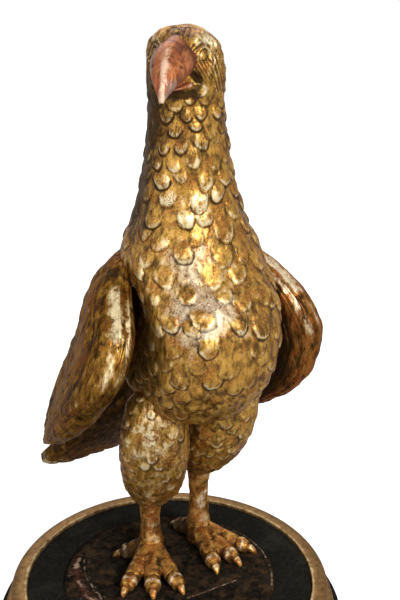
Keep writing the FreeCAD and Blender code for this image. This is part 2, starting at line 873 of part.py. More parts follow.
def main():
    """Make every piece and write it."""
    os.makedirs("parts", exist_ok=True)
    both = ("left", "right")
    write("baize_sheet", baize_sheet())
    write("base_core", base_core())
    write("foot_moulding", foot_moulding())
    write("gilt_fillet", gilt_fillet())
    write("frieze_ring", frieze_ring())
    write("gilt_rim", gilt_rim())
    write("top_panel", top_panel())
    write("carved_ground", carved_ground())
    write("ground_screws", *ground_screws(0))
    write("rim_pins", *rim_pins(0))
    write("torso", torso())
    write("neck", neck())
    write("head", head())
    write("upper_beak", upper_beak())
    write("lower_beak", lower_beak())
    write("tail", tail())
    for side in both:
        write(side + "_wing", wing(side))
        write(side + "_thigh", thigh(side))
        write(side + "_shank", shank(side))
        write(side + "_foot", foot(side))
        write(side + "_leg_rod", leg_rod(side))
    write("rod_nuts", *[rod_nut(side) for side in both])
    write("rod_washers", *[rod_washer(side) for side in both])
    write("neck_dowels", *[on_ground(neck_dowel(height, 0)) for height in (shoulder_height, neck_top_height)])
    write("wing_dowels", *[on_ground(one) for side in both for one in wing_dowels(side, 0)])
    write("tail_dowels", *[on_ground(one) for one in tail_dowels(0)])
    write("thigh_dowels", *[on_ground(thigh_dowel(side, 0)) for side in both])
    write("beak_dowels", *[on_ground(beak_dowel(level, 0)) for level in (beak_level, jaw_level)])


main()
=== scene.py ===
"""The looks of a giltwood eagle on a round ebonised base.

Each carved piece is the smooth block of the same name, worked out again as a surface of two
parameters, with its feathers, scales, folds and cracks cut into it, and finished with worn gilding.
Lengths are in metres and angles in radians unless a name says otherwise.
"""

import math

import bpy
import numpy as np
from bpy.props import FloatProperty, FloatVectorProperty, PointerProperty
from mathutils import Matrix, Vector


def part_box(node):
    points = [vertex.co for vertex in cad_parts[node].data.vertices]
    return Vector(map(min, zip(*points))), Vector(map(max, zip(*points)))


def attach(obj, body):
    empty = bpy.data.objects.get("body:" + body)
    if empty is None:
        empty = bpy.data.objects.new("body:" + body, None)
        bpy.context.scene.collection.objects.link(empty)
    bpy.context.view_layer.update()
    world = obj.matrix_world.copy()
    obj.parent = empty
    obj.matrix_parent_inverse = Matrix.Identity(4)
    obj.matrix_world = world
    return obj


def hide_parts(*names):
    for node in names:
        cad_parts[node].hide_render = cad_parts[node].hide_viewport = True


bl_info = {
    "name": "Giltwood eagle",
    "version": (1, 0, 0),
    "blender": (4, 5, 0),
    "location": "3D View > Sidebar > Eagle",
    "description": "Carves and gilds a standing eagle on a round base",
    "category": "Add Mesh",
}

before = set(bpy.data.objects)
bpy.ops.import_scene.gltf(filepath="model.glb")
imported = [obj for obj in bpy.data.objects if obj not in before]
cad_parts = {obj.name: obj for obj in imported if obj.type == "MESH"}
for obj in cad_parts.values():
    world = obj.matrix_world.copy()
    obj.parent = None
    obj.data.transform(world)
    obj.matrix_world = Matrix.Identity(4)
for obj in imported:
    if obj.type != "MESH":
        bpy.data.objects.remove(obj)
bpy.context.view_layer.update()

MM = 0.001
WHOLE_TURN = 2 * math.pi

# The eagle's own measures start on the ground, midway between its shanks
ground_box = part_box("carved_ground")
left_shank_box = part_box("left_shank")
right_shank_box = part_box("right_shank")
stand_x = (left_shank_box[0][0] + left_shank_box[1][0] + right_shank_box[0][0] + right_shank_box[1][0]) / 4
stand_y = (left_shank_box[0][1] + left_shank_box[1][1]) / 2
STAND = np.array([stand_x, stand_y, ground_box[1][2]])

# The legs
SHANK_SPREAD = 29 * MM
SHANK_HEIGHTS = {"left": 90 * MM, "right": 71 * MM}
SHANK_RADIUS = 10 * MM
ANKLE_HEIGHT = 24 * MM
ANKLE_RADIUS = 13 * MM
THIGH_TOP_HEIGHT = 212 * MM
THIGH_RADIUS = 34 * MM
THIGH_LEAN = 36 * MM
THIGH_SPLAY = 12 * MM
TOE_LENGTHS = {"left": 56 * MM, "right": 64 * MM}
TOE_RADIUS = 8.5 * MM
TOE_HEIGHT = 16 * MM
TALON_LENGTH = 19 * MM
TALON_RADIUS = 3.8 * MM
HALLUX_LENGTH = 30 * MM
TOE_ANGLES_SHARE = (-0.27, 0.0, 0.27)
LEG_TURN_SHARES = {"left": 0.11, "right": 0.31}
HALLUX_TURN_SHARES = {"left": 0.20, "right": -0.68}

# The trunk, the neck and the head
BELLY_HEIGHT = 183 * MM
SHOULDER_HEIGHT = 341 * MM
CHEST_HALF_WIDTH = 64 * MM
CHEST_FORWARD = 124 * MM
NECK_TOP_HEIGHT = 489 * MM
NECK_BACK = 27 * MM
NECK_RADIUS = 34 * MM
HEAD_HEIGHT = 64 * MM
HEAD_HALF_LENGTH = 38 * MM
HEAD_TURN_SHARE = 0.49

# The beak
BEAK_REACH = 80 * MM
BEAK_ROOT = 22 * MM
BEAK_HALF_WIDTH = 20 * MM
BEAK_HALF_HEIGHT = 17.5 * MM
BEAK_DROP = 27 * MM
BEAK_LEVEL = 42 * MM
BEAK_RIDGE_SHARE = 0.30
BEAK_FULL_SHARE = 0.35
BEAK_ASIDE = -2.4 * MM
JAW_REACH = 51 * MM
JAW_HALF_WIDTH = 19 * MM
JAW_HALF_HEIGHT = 6 * MM
JAW_LEVEL = 20 * MM

# The wings, from shoulder to tip
WING_TOP_HEIGHT = 343 * MM
WING_TIP_HEIGHT = 98 * MM
WING_SPREAD = 112 * MM
WING_FORWARD = 66 * MM
WING_BACK = 120 * MM
WING_ROLL_RADIUS = 21 * MM
WING_THICKNESS = 12 * MM
WING_ROOT_DEPTH = 58 * MM
LEFT_WING_LEAD = 35 * MM
LEFT_WING_TUCK = 1 * MM

# The tail
TAIL_ROOT = (0, 16 * MM, 206 * MM)
TAIL_END = (0, 144 * MM, 56 * MM)
TAIL_ROOT_HALF_WIDTH = 30 * MM
TAIL_END_HALF_WIDTH = 84 * MM
TAIL_ROOT_THICKNESS = 34 * MM
TAIL_END_THICKNESS = 14 * MM
TAIL_CUP = 5 * MM
TAIL_FEATHERS = 9
FLIGHT_FEATHERS = 7

# The base: its wooden core and the outlines of the rings round it
CORE_RADIUS = 136 * MM
FOOT_RADIUS = 176 * MM
FOOT_SHOULDER_RADIUS = 175 * MM
FOOT_TOP_RADIUS = 165 * MM
FILLET_RADIUS = 166 * MM
FILLET_BULGE_RADIUS = 168 * MM
FRIEZE_RADIUS = 154 * MM
FRIEZE_WAIST_RADIUS = 150 * MM
RIM_BULGE_RADIUS = 160.6 * MM
RIM_TOP_RADIUS = 157.7 * MM
RIM_CREST_RADIUS = 151 * MM
RIM_INNER_RADIUS = 144.5 * MM
RIM_SOFTENING = 1.2 * MM
# The radius of the rim's rubbed line, which also carries a painted highlight
RUBBED_HIGHLIGHT_RADIUS = 146 * MM
RING_WOBBLE = 0.0006

# Shares of the trunk's sizes, from the belly up: height, half width, middle, front, back and how
# pointed the rear half is
TRUNK_SHARES = (
    (0.000, 0.34, 0.30, 0.16, 0.26, 1.00),
    (0.055, 0.70, 0.37, 0.31, 0.38, 1.00),
    (0.140, 0.86, 0.45, 0.36, 0.60, 0.80),
    (0.350, 0.96, 0.58, 0.42, 0.86, 0.85),
    (0.570, 0.98, 0.65, 0.42, 0.93, 1.10),
    (0.780, 0.99, 0.62, 0.39, 0.88, 1.40),
    (0.930, 1.00, 0.47, 0.40, 0.72, 1.05),
    (1.000, 1.02, 0.34, 0.42, 0.62, 0.85),
)
# Shares up the neck: height, then how much of the shoulder's section is left
NECK_SHARES = ((0.00, 1.00), (0.10, 0.90), (0.20, 0.68), (0.34, 0.43), (0.62, 0.15), (1.00, 0.00))
# Shares of the head: height, half width, middle and half length
HEAD_SHARES = (
    (0.00, 1.00, 0.00, 0.89),
    (0.20, 1.02, 0.03, 0.96),
    (0.44, 1.02, 0.05, 1.00),
    (0.68, 0.94, 0.08, 0.97),
    (0.86, 0.74, 0.10, 0.82),
    (0.96, 0.40, 0.13, 0.52),
    (1.00, 0.10, 0.15, 0.16),
)
# Shares along each half of the beak: reach, drop, half width and half height
BEAK_SHARES = (
    (0.00, 0.00, 1.00, 1.00),
    (0.28, 0.02, 0.98, 0.98),
    (0.52, 0.15, 0.86, 0.83),
    (0.74, 0.40, 0.62, 0.56),
    (0.91, 0.72, 0.32, 0.28),
    (1.00, 1.00, 0.08, 0.08),
)
JAW_SHARES = (
    (0.00, 0.00, 1.00, 1.00),
    (0.40, 0.00, 0.82, 0.90),
    (0.80, 0.08, 0.45, 0.60),
    (1.00, 0.20, 0.14, 0.20),
)
# Shares down the wing: height, then how far out and back its rolled front edge lies and how thick
# that is, how far out and back its bend lies, how thick it is behind the roll, how far out and back
# its rear edge lies, and how deep its root is inside
WING_SHARES = (
    (0.000, 0.540, -0.21, 0.38, 0.530, 0.06, 0.80, 0.24, 0.200, 0.20),
    (0.070, 0.680, -0.41, 0.68, 0.740, 0.22, 1.10, 0.17, 0.280, 0.60),
    (0.150, 0.795, -0.78, 0.88, 0.875, 0.37, 1.10, 0.14, 0.350, 0.85),
    (0.240, 0.870, -0.92, 0.98, 0.920, 0.42, 1.05, 0.14, 0.420, 1.00),
    (0.330, 0.955, -0.94, 1.00, 0.940, 0.45, 1.00, 0.19, 0.500, 1.00),
    (0.420, 1.020, -0.83, 1.03, 0.960, 0.50, 0.95, 0.28, 0.600, 0.80),
    (0.510, 1.015, -0.51, 0.98, 0.960, 0.57, 0.90, 0.38, 0.710, 0.45),
    (0.590, 1.010, -0.24, 0.91, 0.965, 0.66, 0.85, 0.46, 0.790, 0.12),
    (0.680, 0.995, 0.09, 0.82, 0.950, 0.74, 0.80, 0.52, 0.850, 0.00),
    (0.795, 0.960, 0.56, 0.67, 0.930, 0.85, 0.70, 0.62, 0.920, 0.00),
    (0.925, 0.862, 1.34, 0.45, 0.850, 0.94, 0.55, 0.71, 0.975, 0.00),
    (1.000, 0.790, 1.74, 0.24, 0.790, 0.99, 0.30, 0.77, 1.000, 0.00),
)
LEAD_START_SHARE = 0.37
LEAD_END_SHARE = 0.65
WING_WAY_SHARES = (0.00, 0.12, 0.26, 0.42, 0.58, 0.74, 0.88, 1.00)
WING_THINNED_SHARE = 0.34
# Shares down the thigh, from its foot: height, radius, lean and splay
THIGH_SHARES = (
    (0.000, 0.42, 0.08, 0.00),
    (0.050, 0.61, 0.16, 0.10),
    (0.160, 0.85, 0.32, 0.25),
    (0.320, 0.99, 0.54, 0.50),
    (0.530, 1.03, 0.78, 0.80),
    (0.730, 0.98, 0.92, 1.00),
    (0.910, 0.84, 1.00, 1.00),
    (1.000, 0.64, 1.00, 1.00),
)
# Shares down the tail: way down, width and thickness
TAIL_SHARES = (
    (0.00, 0.00, 0.00),
    (0.25, 0.18, 0.30),
    (0.55, 0.50, 0.62),
    (0.85, 0.88, 0.90),
    (1.00, 1.00, 1.00),
)
TAIL_EDGE_SHARE = 0.55
# Shares along a toe: reach, height and radius
TOE_SHARES = (
    (0.00, 1.00, 1.28),
    (0.28, 0.86, 1.14),
    (0.56, 0.64, 1.00),
    (0.80, 0.46, 0.98),
    (1.00, 0.38, 0.80),
)
# The same along a talon, which is stout and hooks down into the ground
TALON_SHARES = (
    (0.00, 1.10, 1.15),
    (0.22, 1.15, 1.20),
    (0.44, 0.95, 1.02),
    (0.62, 0.50, 0.74),
    (0.70, 0.10, 0.42),
)
SECTION_POINTS = 16
ROLL_POINTS = 5

# Feathers by way down a piece, in mm: way down, pitch between rows, spacing in a row, half width
# and length
PLUMAGE_FORMS = (
    (0, 12, 16, 6.0, 13),
    (40, 14, 19, 7.0, 17),
    (60, 16, 23, 7.8, 20),
    (100, 17, 27, 9.0, 23),
    (150, 18, 36, 10.8, 26),
    (210, 15, 36, 10.4, 23),
    (245, 13, 34, 9.4, 19),
    (340, 11, 26, 7.0, 14),
)
HEAD_FORMS = ((0, 9, 13, 4.5, 11), (100, 12, 15, 5.2, 13))
COVERT_FORMS = ((0, 15, 26, 8.5, 20), (150, 19, 30, 9.5, 24))
THIGH_FORMS = ((0, 10, 19, 6.0, 13), (60, 10, 18, 5.8, 13), (160, 8, 13, 4.2, 10))
HEAD_FEATHERED = 110 * MM
COVERTS_END = 125 * MM
# How far round from the front the middle of the breast's painted highlights and shade, and of a thigh's pale front,
# lies, as a share
BREAST_ASIDE_SHARE = 0.08
THIGH_ASIDE_SHARE = 0.09

# How finely each piece is cut: places round it and along it
TRUNK_GRID = (380, 460)
HEAD_GRID = (380, 210)
BEAK_GRID = (150, 150)
WING_GRID = (480, 190)
TAIL_GRID = (420, 150)
THIGH_GRID = (300, 190)
SHANK_GRID = (110, 110)
GROUND_GRID = (420, 170)
RING_PLACES = 300
TRUNK_ROUGH_GRID = (48, 120)
TOE_GRID = (48, 60)
TALON_GRID = (30, 40)
ANKLE_GRID = (60, 30)
LENGTH_SAMPLES = 600
FOOT_GRAIN = 0.8 * MM

# Places on the skull, in mm: how far round from the beak's line and how far up from the neck
EYE_PLACE = (26.5, 44)
EYE_RADIUS = 4.6
SOCKET_PLACE = (25, 43)
LID_PLACE = (25, 40)
BROW_LEVEL = 57.5
# The middle of the brow's painted highlight
BROW_HIGHLIGHT_PLACE = (28, 55)
GAPE_PLACE = (18, 26)
JAW_PLACE = (18, 14.8)
# Directions there, and the pitch of the strands across them
GAPE_WAY = (0.819, 0.574)
LORE_WAY, LORE_PITCH = (0.853, 0.521), 3.2
CHEEK_WAY, CHEEK_PITCH = (0.941, 0.338), 4.4
CROWN_PITCH = 5.6
# The wing's roll ends where its feathers begin
ROLL_EDGE = (42 * MM, 54 * MM)
# The fuller flank, and the tail's thick corner: how far each stands out
FLANK_FULLNESS = 8 * MM
CORNER_PLACE, CORNER_WIDTH = -60 * MM, 34 * MM
CORNER_RISE, CORNER_FALL = 7 * MM, 5 * MM
# Shares of a toe's length: its knuckles, and its creases with their widths in mm and depths
KNUCKLE_SHARE = 0.90
SECOND_KNUCKLE_SHARE = 0.62
CREASES = ((0.80, 1.0, 1.0), (1.03, 0.9, 1.0), (0.50, 1.0, 0.6))
# The middle of the ground's worn rings; two rings by radius, width, strength and way of wandering;
# the wide one; the one by the left edge; and the middle of the crack
RINGS_CENTRE = (14 * MM, 15 * MM)
INNER_RINGS = ((93 * MM, 1.1 * MM, 0.8, 1), (88 * MM, 0.8 * MM, 0.5, -1))
WIDE_RING = 100 * MM
EDGE_RING = 104 * MM
CRACK_PLACE = (23 * MM, -43 * MM)

SIDES = ("left", "right")
LAYERS = ("cut", "tone", "edge", "rub")
# Of each leg: its seeds; how strong the dust and painted highlight of its thigh's pale front patch are, and how bright
# the painted highlight down its thigh's front is
THIGH_SEEDS = {"left": 61, "right": 67}
SHANK_SEEDS = {"left": 91, "right": 95}
THIGH_DUST_AND_HIGHLIGHT = {"left": 0.3, "right": 0.65}
THIGH_SHINE = {"left": 0.2, "right": 0.45}

# Gildings, by what differs from the common one
GILDINGS = {
    # Plumage, head and thighs
    "worn_gilding": {"varnish": 0.15, "pits": 0.8},
    # Feet and shanks: thinner leaf, the bole warm through it
    "foot_gilding": {
        "pits": 0.7, "gold": (0.62, 0.32, 0.075), "umber": (0.10, 0.040, 0.012), "amber": (0.46, 0.16, 0.038),
        "bright": (0.96, 0.86, 0.64)},
    # The right wing and the tail: browner, and worn in long streaks
    "streaked_gilding": {
        "stretch": (1, 1, 0.22), "bump": 0.4, "sheen": 0.05, "gold": (0.29, 0.145, 0.024),
        "umber": (0.038, 0.017, 0.005), "amber": (0.23, 0.080, 0.014), "dust": (0.235, 0.215, 0.165),
        "bright": (0.96, 0.80, 0.48)},
    # The left wing: bole shows through the streaks, orange as copper
    "copper_gilding": {
        "stretch": (1, 1, 0.22), "bump": 0.4, "sheen": 0.05, "gold": (0.32, 0.135, 0.028),
        "umber": (0.05, 0.020, 0.007), "amber": (0.40, 0.11, 0.022), "dust": (0.24, 0.22, 0.19),
        "bright": (0.98, 0.84, 0.58)},
    # The beak: red clay with little leaf left on it, dusty at the tip
    "beak_bole": {
        "stretch": (1, 1, 0.2), "bump": 0.3, "metal": 0.3, "sheen": 0.2, "pits": 0.4, "gold": (0.53, 0.185, 0.066),
        "amber": (0.42, 0.105, 0.036), "umber": (0.20, 0.062, 0.028), "bright": (0.94, 0.66, 0.47),
        "dust": (0.34, 0.25, 0.205), "grime": (0.08, 0.024, 0.013)},
    # The ground: near black paint over gesso, gilding left on its rubbed rings
    "ground_paint": {
        "stretch": (1, 1, 1), "bump": 0.25, "metal": 0.05, "sheen": 0.0, "gold": (0.030, 0.0235, 0.0165),
        "amber": (0.090, 0.050, 0.026), "umber": (0.009, 0.0075, 0.006), "bright": (0.50, 0.36, 0.24),
        "dust": (0.12, 0.040, 0.028), "grime": (0.005, 0.004, 0.0035), "bole": (0.05, 0.025, 0.016)},
    # The turned mouldings: dull bronze, its three leaf colours shares of the rim's
    "moulding_gilding": {
        "stretch": (1, 1, 1), "bump": 0.2, "metal": 0.4, "sheen": 0.1, "bright": (0.50, 0.37, 0.19),
        "dust": (0.20, 0.15, 0.11), "grime": (0.03, 0.018, 0.010), "bole": (0.15, 0.06, 0.025)},
}
# Sizes of the marks in the gilding and in the plain finishes
CLOUD_SIZE = 24 * MM
WEAR_SIZE = 6 * MM
PATCH_SIZE = 11 * MM
FINE_SIZE = 1.4 * MM
CRACK_SIZE = 17 * MM
FLECK_SIZE = 2.4 * MM
PLAIN_CLOUD_SIZE = 40 * MM
GRAIN_SIZE = 3 * MM
SCRATCH_SIZE = 0.8 * MM
SPECK_SIZE = 3.2 * MM
# The mouldings' leaf colours as shares of the rim's, and the tint of light that grazes the leaf
RIM_SHARES = {"gold": 1.0, "amber": 0.75, "umber": 0.45}
GRAZING_TINT = (0.55, 0.36, 0.20, 1)
# Plain finishes: two colours, dust and how much of it, roughness, metal, stretch and bump
PLAIN_FINISHES = {
    "bare_wood": ((0.34, 0.20, 0.10), (0.46, 0.31, 0.17), (0.30, 0.27, 0.23), 0.3, 0.55, 0.0, (1, 0.06, 1), 0.4),
    "green_baize": (
        (0.012, 0.055, 0.022), (0.020, 0.085, 0.035), (0.10, 0.12, 0.09), 0.3, 0.70, 0.0, (1, 1, 1), 0.8),
    "forged_iron": (
        (0.06, 0.055, 0.05), (0.12, 0.11, 0.10), (0.20, 0.10, 0.05), 0.5, 0.40, 0.85, (1, 1, 0.3), 0.4),
    "bright_steel": (
        (0.42, 0.42, 0.43), (0.55, 0.55, 0.56), (0.25, 0.17, 0.11), 0.3, 0.22, 0.95, (1, 1, 0.2), 0.2),
}

# The stage: floor, lamps (place, size and power of each) and camera
FLOOR_REACH = 1.8
FLOOR_GLOW = 0.74
ROOM_LIGHT = 0.28
LAMPS = {
    "key_lamp": ((0.0, -2.1, 1.6), 0.8, 40),
    "fill_lamp": ((-2.1, -0.9, 1.3), 1.4, 12),
    "back_lamp": ((0.9, 2.1, 1.7), 1.6, 18),
}
LAMPS_AIM = (0, 0, 0.3)
CAMERA_PLACE = (-0.5042, -0.8733, 0.8262)
CAMERA_DOWN_DEGREES = 23.8065
CAMERA_ASIDE_DEGREES = 31.7445
CAMERA_LENS_MM = 72.08
CAMERA_SENSOR_MM = 36


class EagleSizes(bpy.types.PropertyGroup):
    """Depths of the carving."""

    feather_lift: FloatProperty(
        name="Feather lift", description="How far a breast feather's tip stands up",
        default=2.9 * MM, min=0, unit="LENGTH")
    thigh_lift: FloatProperty(
        name="Thigh feather lift", description="How far a thigh feather's tip stands up",
        default=0.9 * MM, min=0, unit="LENGTH")
    quill_depth: FloatProperty(
        name="Quill depth", description="Depth of the cuts between long feathers",
        default=1.7 * MM, min=0, unit="LENGTH")
    brow_lift: FloatProperty(
        name="Brow lift", description="How far the brow stands out over the eye",
        default=3.6 * MM, min=0, unit="LENGTH")
    ground_relief: FloatProperty(
        name="Ground relief", description="Depth of the rough cutting of the ground",
        default=0.8 * MM, min=0, unit="LENGTH")


class EagleColours(bpy.types.PropertyGroup):
    """Colours of the finishes."""

    gold: FloatVectorProperty(
        name="Gold", description="Aged gold leaf", subtype="COLOR", default=(0.52, 0.28, 0.053))
    # Bright gold is burnished leaf, and also the colour of the painted highlights
    bright: FloatVectorProperty(
        name="Bright gold", description="Leaf that hands have burnished", subtype="COLOR",
        default=(0.92, 0.78, 0.48))
    amber: FloatVectorProperty(
        name="Amber", description="Leaf worn thin over the bole", subtype="COLOR",
        default=(0.42, 0.165, 0.030))
    umber: FloatVectorProperty(
        name="Umber", description="Brown glaze where the leaf is gone", subtype="COLOR",
        default=(0.095, 0.046, 0.011))
    # Grime is dirt in the cuts, and also the colour of the painted shade
    grime: FloatVectorProperty(
        name="Grime", description="Dark dirt in the cuts", subtype="COLOR", default=(0.036, 0.018, 0.0065))
    # Dust is also laid on the painted pale highlights of the breast, the brow and the thighs' fronts
    dust: FloatVectorProperty(
        name="Dust", description="Grey mauve bloom on rubbed gesso", subtype="COLOR",
        default=(0.56, 0.45, 0.32))
    bole: FloatVectorProperty(
        name="Bole", description="Red clay under the leaf", subtype="COLOR", default=(0.36, 0.10, 0.035))
    black: FloatVectorProperty(
        name="Black", description="Ebonised wood", subtype="COLOR", default=(0.0145, 0.0138, 0.0108))
    rim: FloatVectorProperty(
        name="Rim", description="Bronze gold of the mouldings", subtype="COLOR",
        default=(0.24, 0.132, 0.050))
    floor: FloatVectorProperty(
        name="Floor", description="Pale floor under the base", subtype="COLOR", default=(0.86, 0.86, 0.86))


def sizes():
    """The depths in use."""
    return bpy.context.scene.eagle_sizes


def colours():
    """The colours in use."""
    return bpy.context.scene.eagle_colours


def span(low, high, share):
    """The value that lies a share of the way from low to high."""
    return low + (high - low) * share


def quarter(share):
    """A share of a right angle."""
    return share * math.pi / 2


def side_sign(side):
    """+1 on the eagle's left and -1 on its right."""
    return 1.0 if side == "left" else -1.0


def turns(count):
    """The angles of a whole turn in so many even steps."""
    return WHOLE_TURN * np.arange(count) / count


def from_front(share):
    """A share of the way round, as a share from the front: 0 there, and half a turn either way behind."""
    return (share + 0.5) % 1 - 0.5


def ease(value, low, high):
    """0 below low, 1 above high, and a smooth S between them."""
    t = np.clip((value - low) / (high - low), 0, 1)
    return t * t * (3 - 2 * t)


def mound(distance, width):
    """A bell that is 1 where distance is 0 and falls off over width."""
    return np.exp(-(distance / width) ** 2)


def waviness(places, seed, size, octaves=3):
    """Smooth seeded unevenness, about -1 to 1, of points in space: a sum of turned sine waves."""
    rng = np.random.default_rng(seed)
    total = np.zeros(places.shape[:-1])
    for octave in range(octaves):
        for _ in range(5):
            way = rng.normal(size=3)
            way *= WHOLE_TURN / size * 2 ** octave / np.linalg.norm(way)
            total += np.sin(places @ way + rng.uniform(0, WHOLE_TURN)) / 2 ** octave
    return total / 4.2


# Smooth surfaces through rings of points

def ring_weights(points, samples):
    """Weights that turn a ring of points into samples of the smooth closed curve through them.

    A cubic spline is a sixth of its corners' sum, 1, 4 and 1, at each knot. That is solved for the
    corners, which then give the samples."""
    place = np.arange(samples) / samples * points
    knot = np.floor(place).astype(int)
    t = place - knot
    four = np.stack([(1 - t) ** 3, 3 * t ** 3 - 6 * t ** 2 + 4, -3 * t ** 3 + 3 * t ** 2 + 3 * t + 1, t ** 3]) / 6
    weights = np.zeros((samples, points))
    for k in range(4):
        np.add.at(weights, (np.arange(samples), (knot - 1 + k) % points), four[k])
    one = np.eye(points)
    at_knots = (np.roll(one, 1, 0) + 4 * one + np.roll(one, -1, 0)) / 6
    return weights @ np.linalg.inv(at_knots)


def row_weights(rows, places):
    """Weights of the rows in a clamped uniform cubic spline at places from 0 to 1."""
    degree = min(3, rows - 1)
    spans = rows - degree
    knots = np.concatenate([np.zeros(degree), np.arange(spans + 1), np.full(degree, spans)])
    x = np.clip(places * spans, 0, spans - 1e-9)[:, None]
    basis = ((knots[:-1] <= x) & (x < knots[1:])).astype(float)
    for d in range(1, degree + 1):
        rise = np.where(knots[d:] > knots[:-d], knots[d:] - knots[:-d], np.inf)
        up = (x - knots[:-d]) / rise
        basis = up[:, :-1] * basis[:, :-1] + (1 - up[:, 1:]) * np.where(rise[1:] < np.inf, basis[:, 1:], 0)
    return basis


def surface(rings, around, along):
    """A grid of points (along, around, 3) on the smooth skin over rings of points.

    Its rows are spread so that the mean distance between neighbours is the same."""
    rings = np.asarray(rings, float)
    fine = np.linspace(0, 1, LENGTH_SAMPLES)
    coarse = np.einsum("fr,rpc->fpc", row_weights(len(rings), fine), rings)
    steps = np.linalg.norm(np.diff(coarse, axis=0), axis=2).mean(axis=1)
    length = np.concatenate([[0], np.cumsum(steps)])
    places = np.interp(np.linspace(0, length[-1], along), length, fine)
    rows = np.einsum("ar,rpc->apc", row_weights(len(rings), places), rings)
    return np.einsum("sp,apc->asc", ring_weights(rings.shape[1], around), rows)


def outward(grid):
    """Unit normals of a grid that is closed round its second index, pointing out of it."""
    around = np.roll(grid, -1, 1) - np.roll(grid, 1, 1)
    along = np.gradient(grid, axis=0)
    normal = np.cross(around, along)
    normal /= np.maximum(np.linalg.norm(normal, axis=2, keepdims=True), 1e-12)
    away = grid - grid.mean(axis=1, keepdims=True)
    return normal * (1 if (normal * away).sum() > 0 else -1)


def measures(grid):
    """Of a grid: each point's share of the way round its row, the row's girth, and the way down."""
    steps = np.linalg.norm(np.roll(grid, -1, 1) - grid, axis=2)
    girth = steps.sum(axis=1, keepdims=True)
    share = (np.cumsum(steps, axis=1) - steps) / girth
    falls = np.linalg.norm(np.diff(grid, axis=0), axis=2).mean(axis=1)
    down = np.concatenate([[0], np.cumsum(falls)])[:, None] + np.zeros_like(share)
    return share, girth + np.zeros_like(share), down


def egg_ring(height, half_width, middle, front, back, point=1.0):
    """A level section: round in front, drawn out behind, and there as pointed as the share says."""
    turn = turns(SECTION_POINTS)
    across, ahead = np.sin(turn), np.cos(turn)
    rear = ahead < -1e-9
    x = np.where(rear, np.sign(across) * np.abs(across) ** point, across)
    y = np.where(rear, -np.abs(ahead) ** point * back, ahead * front)
    return np.stack([half_width * x, middle - y, np.full(SECTION_POINTS, height)], axis=1)


def horn_rings(stations, ridge=0.0, full=0.0, aside=0.0):
    """Ellipses square to a path in the YZ plane: stations of y, z, half width and half height.

    Above, each narrows to a ridge by the share of its width that ridge gives; below, full makes it
    squarer. All are moved sideways by aside."""
    stations = np.asarray(stations, float)
    path = stations[:, :2]
    along = np.empty_like(path)
    along[1:-1] = path[2:] - path[:-2]
    along[0], along[-1] = path[1] - path[0], path[-1] - path[-2]
    along /= np.linalg.norm(along, axis=1, keepdims=True)
    turn = turns(SECTION_POINTS)
    across, fall = np.sin(turn)[None], np.cos(turn)[None]
    below = np.maximum(fall, 0)
    bulge = np.sign(across) * np.abs(across) ** (1 - full * below)
    x = aside + stations[:, 2:3] * bulge * (1 - ridge * np.maximum(-fall, 0) ** 1.5)
    y = path[:, :1] - along[:, 1:] * stations[:, 3:] * fall
    z = path[:, 1:] + along[:, :1] * stations[:, 3:] * fall
    return np.stack([x, y, z], axis=2)


def circle():
    """A level circle of radius 1, from the front round by the eagle's left."""
    turn = turns(SECTION_POINTS)[:, None]
    return np.concatenate([np.sin(turn), -np.cos(turn), 0 * turn], axis=1)


def turned(points, angle):
    """Points turned about the Z axis."""
    c, s = math.cos(angle), math.sin(angle)
    return points @ np.array([[c, s, 0], [-s, c, 0], [0, 0, 1]])


# Meshes

def put_values(mesh, values):
    """Give the points of a mesh their values, by name."""
    for key, value in values.items():
        layer = mesh.attributes.new(key, "FLOAT", "POINT")
        layer.data.foreach_set("value", np.ascontiguousarray(value, np.float32).ravel())


def make_mesh(name, points, quads, triangles, values, normals=None):
    """An object from arrays of points, smooth four-sided faces, flat triangles and point values."""
    mesh = bpy.data.meshes.new(name)
    mesh.vertices.add(len(points))
    mesh.vertices.foreach_set("co", np.ascontiguousarray(points, np.float32).ravel())
    corners = np.concatenate([quads.ravel(), triangles.ravel()]).astype(np.int32)
    starts = np.concatenate([
        np.arange(len(quads)) * 4, len(quads) * 4 + np.arange(len(triangles)) * 3]).astype(np.int32)
    mesh.loops.add(len(corners))
    mesh.loops.foreach_set("vertex_index", corners)
    mesh.polygons.add(len(starts))
    mesh.polygons.foreach_set("loop_start", starts)
    mesh.polygons.foreach_set("use_smooth", np.arange(len(starts)) < len(quads))
    mesh.update(calc_edges=True)
    mesh.validate()
    put_values(mesh, values)
    if normals is not None:
        mesh.normals_split_custom_set_from_vertices(normals)
    piece = bpy.data.objects.new(name, mesh)
    bpy.context.scene.collection.objects.link(piece)
    return piece


def closed_skin(grid, values):
    """The arrays of a closed skin over a grid, its ends closed to a middle point."""
    rows, places = grid.shape[:2]
    index = np.arange(rows * places).reshape(rows, places)
    ahead = np.roll(index, -1, 1)
    quads = np.stack([index[:-1], ahead[:-1], ahead[1:], index[1:]], axis=2).reshape(-1, 4)
    first, last = rows * places, rows * places + 1
    low = np.stack([ahead[0], index[0], np.full(places, first)], axis=1)
    high = np.stack([index[-1], ahead[-1], np.full(places, last)], axis=1)
    points = np.concatenate([grid.reshape(-1, 3), grid[:1].mean(axis=1), grid[-1:].mean(axis=1)])
    triangles = np.concatenate([low, high])
    corner = points[quads]
    flux = np.einsum("ij,ij->i", corner.mean(axis=1) - points.mean(axis=0),
                     np.cross(corner[:, 2] - corner[:, 0], corner[:, 3] - corner[:, 1])).sum()
    if flux < 0:
        quads, triangles = quads[:, ::-1], triangles[:, ::-1]
    spread = {key: np.concatenate([value.ravel(), [value[0].mean(), value[-1].mean()]])
              for key, value in values.items()}
    return points, quads, triangles, spread


def finished(piece, material, slot, *nodes):
    """Give a piece its finish, the body it rides on and the nodes it stands for."""
    piece.data.materials.clear()
    piece.data.materials.append(material)
    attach(piece, "root")
    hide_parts(*nodes)
    return piece


def pushed(grid, relief):
    """The points of a grid pushed out by the height of its relief."""
    return grid + outward(grid) * relief["height"][..., None]


